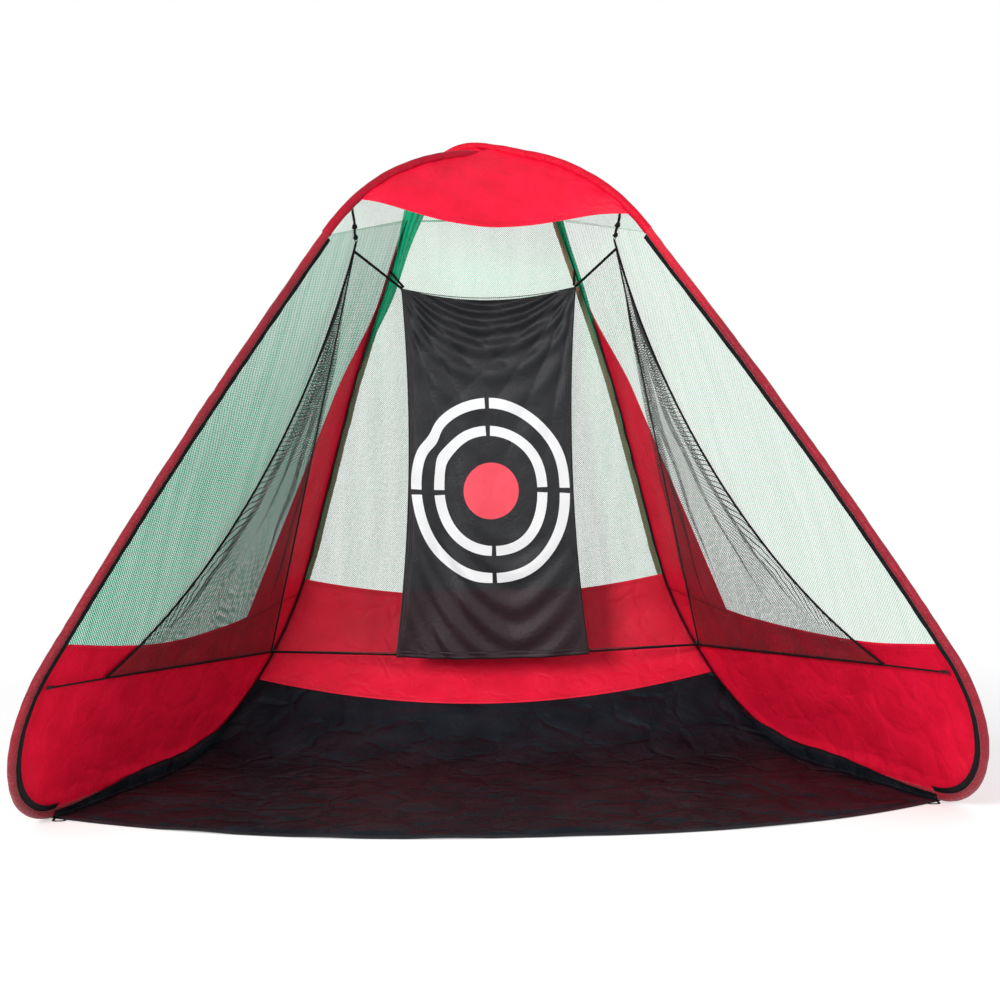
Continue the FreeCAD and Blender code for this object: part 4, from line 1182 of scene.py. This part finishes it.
def rear_skirt_top(x):
    return place_of_height(REAR_SKIRT_MIDDLE + (REAR_SKIRT_SIDE - REAR_SKIRT_MIDDLE) * (x / 0.65) ** 2)


def middle_sheet(node_name, ending, grid, lift, material, slot, held="stretched", rests=("left_binding_tape_cloth",)):
    """A sheet on the profile, lifted off it towards the inside by lift."""
    x, s, t, q = grid
    y, z = profile_at(s)
    ahead_y, ahead_z = profile_at(s + 0.01)
    way_y, way_z = np.array((ahead_y - y, ahead_z - z)) / np.hypot(ahead_y - y, ahead_z - z)
    edge = rim((t + 1) / 2, q, 2 * half_width(s), np.ptp(s, axis=0))
    sheet_piece(node_name + ending, joined(x, y - way_z * lift, z + way_y * lift), joined(x, s), edge, material, slot,
                "middle", held, list(rests), node_name)


def floor_sheet():
    """The floor: flat at its edges, crumpled in long folds, and swept up at the back."""
    grid = middle_grid(250, 150, front_edge, lambda x: seam_line(x) + 0.004)
    x, s, t, q = grid
    calm = border((t + 1) / 2, 0.03) * smooth(q / 0.03) * smooth((1 - q) / 0.05)
    lift = 0.0045 * calm * (0.9 + rumple(x, s, 0.55, 161))
    lift += 0.0060 * calm * creases(x, s, 0.42, 163) + 0.0035 * calm * creases(x, s, 0.19, 164)
    for angle, pitch, seed in ((24, 0.22, 165), (-35, 0.26, 166)):
        lift += 0.0040 * calm * np.maximum(stretched_folds(x, s, math.radians(angle), pitch, seed), 0)
    lift += np.exp(-q / 0.03) * front_slack(x) * border((t + 1) / 2, 0.02)
    middle_sheet("floor_sheet", "_cloth", grid, np.maximum(lift, 0.0), FLOOR_CLOTH, "floor", "laid", [])
    edge_x = np.linspace(-1.40, 1.40, 300)
    line = joined(edge_x, front_edge(edge_x) + FRONT_Y + 0.006, 0.0046 + front_slack(edge_x))
    hem = ribbon("floor_front_hem", line, (0, 0, 1), FLOOR_HEM_WIDTH, TAPE_THICKNESS, tilt=math.radians(14))
    dress(hem, FLOOR_HEM, "floor", "middle")


def front_slack(x):
    """How far the floor's front edge stands off the ground."""
    return 0.004 * np.maximum(rumple(x, 0, 0.31, 167), 0)


def floor_cuffs():
    """The floor runs on over the ground run of each hoop and is sewn to the side skirt above the tape."""
    line = route(HOOP, HOOP_BENDS, step=0.01)
    ground = (line[:, 1] < 5e-4) & (line[:, 0] > FLOOR_CORNER_U - 0.010)
    keep = np.where(ground | ((line[:, 0] > 1.2) & (line[:, 1] < 0.150)))[0]
    line = line[keep[0]:keep[-1] + 1]
    way = np.gradient(line, axis=0)
    way /= np.linalg.norm(way, axis=1)[:, None]
    into = np.stack([-way[:, 1], way[:, 0]], axis=1)
    length = lengths(line)
    left_over = length[-1] - length
    section = even(CUFF_SECTION, 0.0035)
    q = np.linspace(0, 1, len(section))[:, None]
    spot = q * (0.46 + 0.54 * smooth((length - 0.05) / 0.60) - 0.45 * (1 - smooth((left_over - 0.02) / 0.26)))
    for side, seed in (("left", 155), ("right", 157)):
        n, w = (np.interp(spot, q[:, 0], section[:, k]) for k in (0, 1))
        n = n + 0.0012 * rumple(length, q * 0.02, 0.10, seed) * q
        w = w + 0.0008 * np.sin(math.pi * q) * rumple(length, q * 0.05, 0.06, seed + 1)
        u, v = (line[:, k] + into[:, k] * n for k in (0, 1))
        sheet_piece(side + "_floor_cuff_cloth", leaf(u, v, w, side), joined(length, spot * CUFF_WIDTH),
                    np.minimum(q, 1 - q) * 0.058 + 0 * u, FLOOR_CLOTH, "floor", side + "_leaf", "folded",
                    [side + "_ground_sleeve_cloth"])
        piping = tube(side + "_floor_cuff_piping", leaf(u[-1], v[-1], w[-1] + 0.001, side), inward_of(side), PIPING,
                      CORD_SIDES)
        dress(piping, CORD_CLOTH, "tape", side + "_leaf")


def rear_skirt():
    grid = middle_grid(150, 46, seam_line, rear_skirt_top)
    x, s, t, q = grid
    calm = border((t + 1) / 2, 0.05)
    lift = 0.002 + 0.004 * calm * border(q, 0.15) * (0.8 + rumple(x, s, 0.30, 171))
    lift += 0.003 * calm * stretched_folds(x, s, math.radians(80), 0.14, 172) * border(q, 0.2)
    middle_sheet("rear_skirt", "_cloth", grid, lift, RED_CLOTH, "skirt")


def rear_net():
    grid = middle_grid(90, 90, lambda x: rear_skirt_top(x) - 0.010, lambda x: place_of_height(REAR_NET_TOP))
    x, s, t, q = grid
    lift = -0.008 * border((t + 1) / 2, 0.3) * border(q, 0.3) * (0.8 + 0.4 * rumple(x, s, 0.4, 181))
    middle_sheet("rear_net", "_mesh", grid, lift, GREEN_NET_FAR, "green_net")


# Top: valance and crown nets

def along_crown(line, low, high, count):
    """Evenly spaced points of a crown run between two shares of its length."""
    spots = np.linspace(low, high, count) * (len(line) - 1)
    return np.stack([np.interp(spots, np.arange(len(line)), line[:, k]) for k in range(3)], axis=1)


def crossing_share(line):
    """Where a crown run crosses the middle, as a share of its length."""
    order = np.argsort(line[:, 0])
    return float(np.interp(0.0, line[order, 0], order / (len(line) - 1)))


CROSS_LOW, CROSS_HIGH = crossing_share(CROWN_LOW), crossing_share(CROWN_HIGH)


def eased(line, passes):
    """The same line with its corners eased, its ends kept."""
    line = line.copy()
    for _ in range(passes):
        line[1:-1] = (line[:-2] + 2 * line[1:-1] + line[2:]) / 4
    return line


def valance():
    """The red band over the mouth, sewn to both front runs, with a free curved lower edge."""
    left = along_crown(CROWN_LOW, VALANCE_START, CROSS_LOW, 70)
    right = along_crown(CROWN_HIGH, CROSS_HIGH, VALANCE_END, 70)
    upper = eased(even(np.concatenate([left, right[1:]]), 0.008), 40) + (0.0, -0.004, -0.006)
    upper[:, 2] += 0.011 * np.exp(-(upper[:, 0] / 0.10) ** 2)
    lower = even(np.concatenate([upper[:1], VALANCE_LOWER, upper[-1:]]), 0.008)
    lower = eased(lower[np.linspace(0, len(lower) - 1, len(upper)).astype(int)], 60)
    t, q = shares(len(upper), 44)
    places = upper * (1 - q[..., None]) + lower * q[..., None]
    billow = border(t, 0.10) * np.sin(math.pi * q) * 0.012
    wrinkle = border(t, 0.06) * np.sin(math.pi * q ** 0.6) * 0.0022 * rumple(t, q * 0.25, 0.10, 191)
    pucker = 0.0030 * np.exp(-q * 4) * np.sin(t * 90 + 3 * np.sin(t * 17)) * smooth(q / 0.05)
    places[..., 1] -= billow + wrinkle + pucker
    places[..., 2] += (billow + wrinkle) * 0.6
    drop = np.linalg.norm(np.diff(places, axis=0, prepend=places[:1]), axis=2).cumsum(axis=0)
    edge = (1 - q) * np.abs(upper[:, 2] - lower[:, 2])
    sheet_piece("valance_cloth", places, joined(places[..., 0], upper[:, 2] - drop), edge, RED_CLOTH, "skirt",
                "middle", "hung", ["crown_sleeve_low_cloth"], "valance")


def patch_between(name, first, second, columns, edge_of, material, slot, rests, *nodes):
    """A stretched sheet between two lines at the top. edge_of gives the distance to its border from a share of it."""
    t = np.linspace(0, 1, columns)[None, :]
    places = between(first, second, t)
    sheet_piece(name, places, panel_flat(places), edge_of(np.minimum(t, 1 - t)) + 0 * places[..., 0], material, slot,
                "middle", "stretched", [rests], *nodes)


def crown_gusset():
    """A red patch that closes the narrow gap between the two crown sleeves left of their crossing."""
    under = along_crown(CROWN_LOW, CROSS_LOW - 0.16, CROSS_LOW + 0.03, 40)
    over = along_crown(CROWN_HIGH, CROSS_HIGH + 0.16, CROSS_HIGH - 0.03, 40)
    patch_between("crown_gusset_cloth", under, over, 12, lambda inner: inner * 0.05 + 0.02, RED_CLOTH, "skirt",
                  "crown_sleeve_low_cloth")


def crown_nets():
    """Nets that close the top: one each side between the front and rear runs, one at the back."""
    front_left, rear_left, front_right, rear_right = (
        along_crown(line, start, end, 50) - (0, 0, 0.010) for line, start, end in (
            (CROWN_LOW, 0.0, CROSS_LOW), (CROWN_HIGH, 1.0, CROSS_HIGH),
            (CROWN_HIGH, 0.0, CROSS_HIGH), (CROWN_LOW, 1.0, CROSS_LOW)))
    front_left[0] = leaf(*towards(HOOP_FRONT_TOP, WAIST, 0.014))
    rear_left[0] = leaf(*towards(HOOP_REAR_TOP, REAR_WAIST, 0.008))
    front_right[0], rear_right[0] = front_left[0] * MIRROR, rear_left[0] * MIRROR
    rear_left[-1] = front_left[-1]
    rear_right[-1] = front_right[-1] = front_left[-1] - (0, 0, 0.001)
    back = (0, 0.001, 0)
    for name, first, second, sleeve in (("left", front_left, rear_left, "low"),
                                        ("right", rear_right, front_right, "high"),
                                        ("rear", rear_left + back, rear_right + back, "low")):
        wide = np.linalg.norm(first - second, axis=1)[:, None]
        patch_between("crown_net_" + name + "_mesh", first, second, 30, lambda inner: inner * wide, GREEN_NET_FAR,
                      "green_net", "crown_sleeve_" + sleeve + "_cloth", "crown_net_" + name)


def gathered_nets():
    """The spare netting of the rear corners hangs gathered along the tops of the rear runs."""
    for side, crown, top_wide, cover, cut_wide in (("left", CROWN_HIGH, 0.052, 0.030, 0.150),
                                                   ("right", CROWN_LOW, 0.034, 0.004, 0.105)):
        down = on_side(route([HOOP_REAR_TOP, REAR_WAIST], [], step=0.01), side)
        line = np.concatenate([along_crown(crown, 0.84, 1.0, 24)[:-1], down])
        line = even(line[line[:, 2] > 1.40], 0.008)
        t, share = shares(30, len(line))
        ends = smooth((share + 0.02) / 0.14)
        wide = top_wide * (1 - 0.45 * smooth(share / 0.45)) * (1 - smooth((share - 0.60) / 0.40)) * ends + 0.004
        start = -cover * (1 - smooth((share - 0.1) / 0.5)) * ends
        pleat = np.sin(2 * math.pi * (t * 3.3 + 0.25 * rumple(t, share, 0.5, 211))) * 0.0040
        places = line[:, None] + joined(
            start + (wide - start) * t, -0.020 - pleat - 0.010 * np.sin(math.pi * t), -0.35 * wide * t)
        spread = cut_wide * (wide - start) / (top_wide + cover)
        sheet_piece(side + "_gathered_net_mesh", places, joined(spread * t, line[:, 2:]),
                    np.minimum(t, 1 - t) * wide + 0.004, GATHERED_NET, "green_net", "middle", "gathered",
                    [side + "_rear_sleeve_cloth"])


# Target

def pleats(phase):
    """Rounded ridges with narrow valleys between them, between -1 and 1."""
    return 1 - 2 * np.abs(np.sin(phase / 2)) ** 0.8


def target_y(x, z):
    """The hanging sheet's surface: swags between its top corners, folds that fan from them, and drapes lower down."""
    a = (x - TARGET_X) / target_half(z)
    down = TARGET_TOP - z
    swag_line = down - 0.16 * (1 - a ** 2)
    swags = np.sin(2 * math.pi * swag_line / (0.050 + 0.11 * down) + 0.7 * rumple(a, down, 1.3, 201))
    shape = 0.0080 * swags * np.exp(-(down / 0.38) ** 1.8) * (1 - a ** 4)
    for sign, seed in ((-1, 203), (1, 207)):
        across = (x - TARGET_X - sign * TARGET_HALF_TOP) * -sign + 0.004
        angle = np.arctan2(across, down + 0.02)
        reach = np.hypot(across, down)
        fan_folds = pleats(angle * 30 + 1.5 * rumple(angle * 0.3, reach * 0.3, 0.6, seed) + sign)
        fading = smooth(reach / 0.08) * np.exp(-(reach / 0.62) ** 2) * np.exp(-angle * 0.8)
        shape += 0.0052 * fan_folds * fading
    slant = (x - TARGET_X) * 0.92 + z * 0.38 + 0.10 * (z - 0.9) ** 2
    long_folds = pleats(2 * math.pi * slant / 0.120 + 1.2 * rumple(x * 0.5, z * 0.3, 0.50, 209))
    shape += 0.0034 * smooth((down - 0.30) / 0.3) * long_folds * smooth(0.6 - a * 0.8)
    upright = np.sin(2 * math.pi * (a * 1.2 + 0.4 * rumple(a * 0.4, down * 0.6, 0.8, 219)))
    shape += 0.0055 * smooth((down - 0.35) / 0.4) * upright
    low = down - 0.70 - 0.34 * (1 - np.abs(a - 0.25) ** 1.7)
    drape = np.sin(2 * math.pi * low / 0.115 + 0.8 * rumple(a, down, 1.1, 211))
    shape += 0.0042 * drape * smooth((down - 0.80) / 0.18) * (1 - np.clip(a, -1, 1) ** 4)
    return TARGET_Y - 0.006 + shape * border((a + 1) / 2, 0.04)


def target_rows(columns, rows, z_top, z_bottom):
    """The sheet's places as x and z, and each point's share across (-1 to 1) and down."""
    t, q = np.linspace(-1, 1, columns)[None, :], np.linspace(0, 1, rows)[:, None]
    z = z_top + (z_bottom - z_top) * q
    sag = TARGET_SAG * np.exp(-(TARGET_TOP - z) / 0.16) * (1 - t ** 2)
    low = 0.012 * np.exp(-(z - TARGET_BOTTOM) / 0.10) * (1 - t ** 2)
    return TARGET_X + target_half(z) * t, z - sag - low, t, q


def target():
    x, z, t, q = target_rows(120, 240, TARGET_TOP, TARGET_BOTTOM)
    edge = rim((t + 1) / 2, q, 2 * target_half(z), TARGET_TOP - TARGET_BOTTOM)
    cloth = lattice("target_sheet_cloth", joined(x, target_y(x, z), z), joined(x, z), edge)
    give_thickness(cloth)
    dress(cloth, TARGET_CLOTH, "target_cloth", "target", "target_sheet")
    say_sheet(cloth, "hung", ["target_tie_left_strap", "target_tie_right_strap"], joined(x, z), [target_hem()])
    outer, inner = ring("target_ring_outer", *OUTER_RING), ring("target_ring_inner", *INNER_RING)
    dress(outer, WHITE_PRINT, "ring_print", "target", "target_rings")
    dress(inner, WHITE_PRINT, "ring_print", "target")
    disc = print_patch("target_disc_print", lambda r, a: (DISC[0] * r * np.cos(a), DISC[1] * r * np.sin(a)),
                       np.linspace(0.001, 1, 30), np.linspace(0, 2 * math.pi, 97))
    dress(disc, RED_PRINT, "disc_print", "target", "target_disc")


def target_hem():
    """A doubled band along the bottom edge."""
    deep = 0.024
    x, z, t, q = target_rows(120, 6, TARGET_BOTTOM + deep, TARGET_BOTTOM + 0.001)
    places = joined(x, target_y(x, z) - 0.0013, z)
    band = lattice("target_hem_cloth", places, joined(x, z), np.minimum(q, 1 - q) * deep + 0 * t)
    give_thickness(band)
    return dress(band, TARGET_CLOTH, "target_cloth", "target", "target_hem")


def pulled(x, z):
    """How far the hanging cloth draws its rings out of true: most where a fold crosses their upper left."""
    outer = smooth((np.hypot(x, z) - 0.12) / 0.05)
    fold = np.exp(-((x + 0.205) / 0.036) ** 2 - ((z - 0.190) / 0.045) ** 2)
    second = np.exp(-((x + 0.165) / 0.030) ** 2 - ((z - 0.120) / 0.050) ** 2)
    aside_x = 0.014 * fold - 0.012 * second + 0.0035 * rumple(x, z, 0.30, 231) - 0.012 * z / 0.33
    aside_z = -0.010 * fold + 0.0035 * rumple(x, z, 0.30, 233)
    return outer * aside_x, outer * aside_z


def print_patch(name, outline, radii, angles):
    """A patch printed on the target: it follows the sheet's folds just in front of it."""
    x, z = outline(*np.meshgrid(radii, angles, indexing="ij"))
    aside_x, aside_z = pulled(x, z)
    x, z = x + TARGET_X + aside_x, z + RING_HEIGHT + aside_z
    return lattice(name, joined(x, target_y(x, z) - CLOTH / 2 - 0.0006, z), joined(x, z), np.ones_like(x))


def ring(name, half_wide, half_high):
    """Four printed arcs with breaks at the top, bottom and sides."""
    def outline(r, a):
        band = RING_BAND * (1 - r)
        return (half_wide - band) * np.cos(a), (half_high - band) * np.sin(a)

    gap = RING_BREAK / (half_wide + half_high)
    starts = np.arange(4) * math.pi / 2
    arcs = [print_patch(name, outline, np.linspace(0, 1, 8), np.linspace(start + gap, start + math.pi / 2 - gap, 60))
            for start in starts]
    only(arcs[0])
    for arc in arcs[1:]:
        arc.select_set(True)
    bpy.ops.object.join()
    return arcs[0]


# Straps, hooks, ties and loops

def hangers():
    """A strap from each front run to the wing's top corner, looped round the sleeve and knotted."""
    for side, line in (("left", CROWN_LOW), ("right", CROWN_HIGH)):
        corner = leaf(*WING_TOP, WING_OFF, side)
        top = line[np.argmin(np.linalg.norm(line - corner, axis=1))]
        way, along = unit(top - corner), sided(ALONG, side)
        start = corner + way * 0.014
        strap = ribbon(side + "_hanger_strap_cloth", even([start, top - way * (SLEEVE + 0.001)], 0.006),
                       np.cross(way, along), HANGER_WIDTH, STRAP_THICKNESS, wave=lambda s: 0.0015 * np.sin(s * 60))
        dress(strap, STRAP_CLOTH, "tape", side + "_leaf", side + "_hanger_strap")
        for name, place, size in HANGER_KNOTS:
            knot = new_knot(side + "_hanger_knot_" + name, start + way * place, way, size)
            dress(knot, STRAP_CLOTH, "tape", side + "_leaf")
        loop = new_ring(side + "_hanger_ring_wire", corner + way * 0.008, unit(along - way * (along @ way)))
        dress(loop, HOOK_PLASTIC, "hook", side + "_leaf", side + "_hanger_ring")


def turn_to(way):
    """The turn that brings Z to a way."""
    return tuple(Vector((0, 0, 1)).rotation_difference(Vector(way)).to_euler())


def new_ring(name, centre, axis):
    """A small ring of moulded wire."""
    bpy.ops.object.select_all(action="DESELECT")
    bpy.ops.mesh.primitive_torus_add(location=tuple(centre), rotation=turn_to(axis), major_radius=HANGER_RING,
                                     minor_radius=RING_WIRE, major_segments=32, minor_segments=12)
    return settle(name)


def new_knot(name, centre, way, size):
    """A lump of knotted strap: a ball pulled long, ridged by its turns."""
    bpy.ops.object.select_all(action="DESELECT")
    bpy.ops.mesh.primitive_uv_sphere_add(segments=32, ring_count=20, radius=size, location=tuple(centre),
                                         rotation=turn_to(way), scale=(1.0, 0.7, 1.25))
    made = settle(name)
    out = np.array([v.co for v in made.data.vertices]) - centre
    bulge = 1 + 0.16 * np.sin(out @ way / size * 5 + np.arctan2(out[:, 0], out[:, 1]) * 2)
    points = centre + out * bulge[:, None]
    made.data.vertices.foreach_set("co", points.astype(np.float32).ravel())
    made.data.update()
    return made


def settle(name):
    """Names a new primitive, and puts its place into its mesh."""
    made = bpy.context.active_object
    made.name = name
    bpy.ops.object.transform_apply(location=True, rotation=True, scale=True)
    bpy.ops.object.shade_smooth()
    made.data.uv_layers[0].name = "Cloth"
    return made


def hem_fittings():
    """At each front tape: the hem's elastic and its moulded hook."""
    for side in SIDES:
        foot = np.array(WING_FRONT_FOOT) - (0.004, CORD_DROP)
        line = on_side(even([HEM_HOOK, foot], 0.008), side, WING_OFF)
        elastic = tube(side + "_hem_elastic_cord", line, inward_of(side), ELASTIC, 12,
                       shape=lambda s, a: 0.0002 * np.sin(s * 2 * math.pi / 0.006 + a))
        dress(elastic, ELASTIC_CLOTH, "elastic", side + "_leaf", side + "_hem_elastic")
        dress(hook_piece(side), HOOK_PLASTIC, "hook", side + "_leaf", side + "_hem_hook")


def hook_piece(side):
    """A flat moulded hook, open on its lower side, with softened edges."""
    mesh = bpy.data.meshes.new(side + "_hem_hook_moulded")
    mesh.from_pydata([(a, b, 0.0) for a, b in HOOK_OUTLINE], [], [list(range(len(HOOK_OUTLINE)))])
    mesh.update()
    made = new_object(mesh.name, mesh)
    only(made)
    bpy.ops.object.mode_set(mode="EDIT")
    bpy.ops.mesh.select_all(action="SELECT")
    bpy.ops.mesh.extrude_region_move(TRANSFORM_OT_translate={"value": (0, 0, HOOK_THICKNESS)})
    bpy.ops.mesh.select_all(action="SELECT")
    bpy.ops.mesh.normals_make_consistent(inside=False)
    bpy.ops.object.mode_set(mode="OBJECT")
    soften = made.modifiers.new("Soft edges", "BEVEL")
    soften.width, soften.segments, soften.limit_method = HOOK_BEVEL, 3, "NONE"
    apply_all(made)
    turn = np.eye(4)
    turn[:3] = np.stack([ALONG, UP, INWARD, leaf(*HEM_HOOK, 0.0016)], axis=1)
    made.data.transform(Matrix(turn.tolist()))
    if side == "right":
        made.data.transform(Matrix.Diagonal((-1, 1, 1, 1)))
        made.data.flip_normals()
    bpy.ops.object.shade_smooth_by_angle(angle=math.radians(40))
    return made


def target_ties():
    """Short straps from the target's top corners to the rear runs."""
    for side in SIDES:
        line = on_side(inside(SLEEVE + TAPE / 2), side, 0.0026)
        in_front = line[:, 1] < 0.3
        rising = line[np.argmin(np.abs(line[:, 2] - (TARGET_TOP + 0.060)) + in_front * 9)]
        corner = (TARGET_X + SIGN[side] * (target_half(TARGET_TOP) - 0.008), TARGET_Y - 0.002, TARGET_TOP + 0.003)
        strap = ribbon("target_tie_" + side + "_strap", even([corner, rising], 0.006), (0, 1, 0), TIE_WIDTH,
                       STRAP_THICKNESS, wave=lambda s: 0.001 * np.sin(s * 70))
        dress(strap, STRAP_CLOTH, "tape", "middle", "target_tie_" + side)


def corner_loops():
    """Webbing loops for pegs at the floor's front corners. The tail on the outer side is longer."""
    for side in SIDES:
        low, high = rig.box("corner_loop_" + side)
        middle, front, z = (low[0] + high[0]) / 2, low[1] + 0.004, 0.0014
        left_tail, right_tail = (front + WEBBING_TAIL + 0.012 * (side == end) for end in SIDES)
        path = [(middle - WEBBING_HALF, left_tail, z), (middle - WEBBING_HALF, front, z),
                (middle + WEBBING_HALF, front, z), (middle + WEBBING_HALF, right_tail, z)]
        line = route(path, [0.009, 0.009], step=0.003)
        loop = ribbon("corner_loop_" + side + "_webbing", line, (0, 0, 1), WEBBING_WIDTH, WEBBING_THICKNESS)
        dress(loop, STRAP_CLOTH, "webbing", "middle", "corner_loop_" + side)


def carried_over():
    """The leaves' sealed rods and ferrules keep their solids, in steel. The crown's rods bend with its sleeves."""
    for name, line in (("crown_rod_low", CROWN_LOW), ("crown_rod_high", CROWN_HIGH)):
        rod = tube(name + "_steel", line, (0, 1, 0), ROD, 16)
        dress(rod, ROD_STEEL, "spring_rod", "middle", name)
    for side in SIDES:
        put(frame["nodes"][side + "_hoop_rod"], ROD_STEEL)
        put(frame["nodes"][side + "_rod_ferrule"], FERRULE_STEEL)


# Stage, lamps and camera

def stage():
    """A pale floor that fades out, and an even light that is white to the camera and dimmer on the net."""
    bpy.ops.object.select_all(action="DESELECT")
    bpy.ops.mesh.primitive_plane_add(size=STUDIO_FLOOR, location=(0, 0, -0.0005))
    ground = bpy.context.active_object
    ground.name = "studio_floor"
    material, tree, shader = new_material("Pale studio floor", 0.9, specular=0.1)
    shader.inputs["Base Color"].default_value = (0.88, 0.88, 0.88, 1)
    away = node(tree, "VectorMath", {"operation": "LENGTH"}, _0=object_place(tree)).outputs["Value"]
    tree.links.new(ranged(tree, away, FADE_END, FADE_START), shader.inputs["Alpha"])
    seen = node(tree, "LightPath").outputs["Is Camera Ray"]
    tree.links.new(maths(tree, "MULTIPLY", seen, 0.34), shader.inputs["Emission Strength"])
    shader.inputs["Emission Color"].default_value = (1, 1, 1, 1)
    put(ground, material)
    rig.stage(ground)
    world = bpy.data.worlds.new("Pale studio")
    bpy.context.scene.world = world
    world.use_nodes = True
    tree = world.node_tree
    back = tree.nodes["Background"]
    seen = node(tree, "LightPath").outputs
    clear = maths(tree, "MAXIMUM", seen["Is Camera Ray"], seen["Is Transmission Ray"])
    tree.links.new(maths(tree, "MULTIPLY_ADD", clear, 1.0 - AMBIENT, AMBIENT), back.inputs["Strength"])
    back.inputs["Color"].default_value = (1, 1, 1, 1)


def lamps():
    for name, place, size, power in LAMPS:
        light = bpy.data.lights.new(name, "AREA")
        light.size, light.energy = size, power
        made = new_object(name, light)
        made.location = place
        made.rotation_euler = (Vector(LAMP_AIM) - Vector(place)).to_track_quat("-Z", "Y").to_euler()


def camera():
    data = bpy.data.cameras.new("Camera")
    data.lens, data.sensor_width = CAMERA_LENS, 36.0
    made = new_object("Camera", data)
    turn = (Matrix.Rotation(CAMERA_YAW, 4, "Z") @ Matrix.Rotation(math.radians(90) + CAMERA_PITCH, 4, "X")
            @ Matrix.Rotation(CAMERA_ROLL, 4, "Z"))
    made.matrix_world = Matrix.Translation(CAMERA_PLACE) @ turn
    bpy.context.scene.camera = made


for build in (camera, sleeves, tapes, skirts, strips, side_nets, wings, back_nets, floor_sheet, floor_cuffs, rear_skirt,
              rear_net, valance, crown_gusset, crown_nets, gathered_nets, target_ties, target, hangers, hem_fittings,
              corner_loops, carried_over, stage, lamps):
    build()
bpy.context.scene.view_settings.view_transform = "Standard"

with open("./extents.json", "w") as sizes:
    json.dump({"cad": [list(p) for p in CAD_BOX], "visual": [list(p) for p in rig.bounds()]}, sizes)
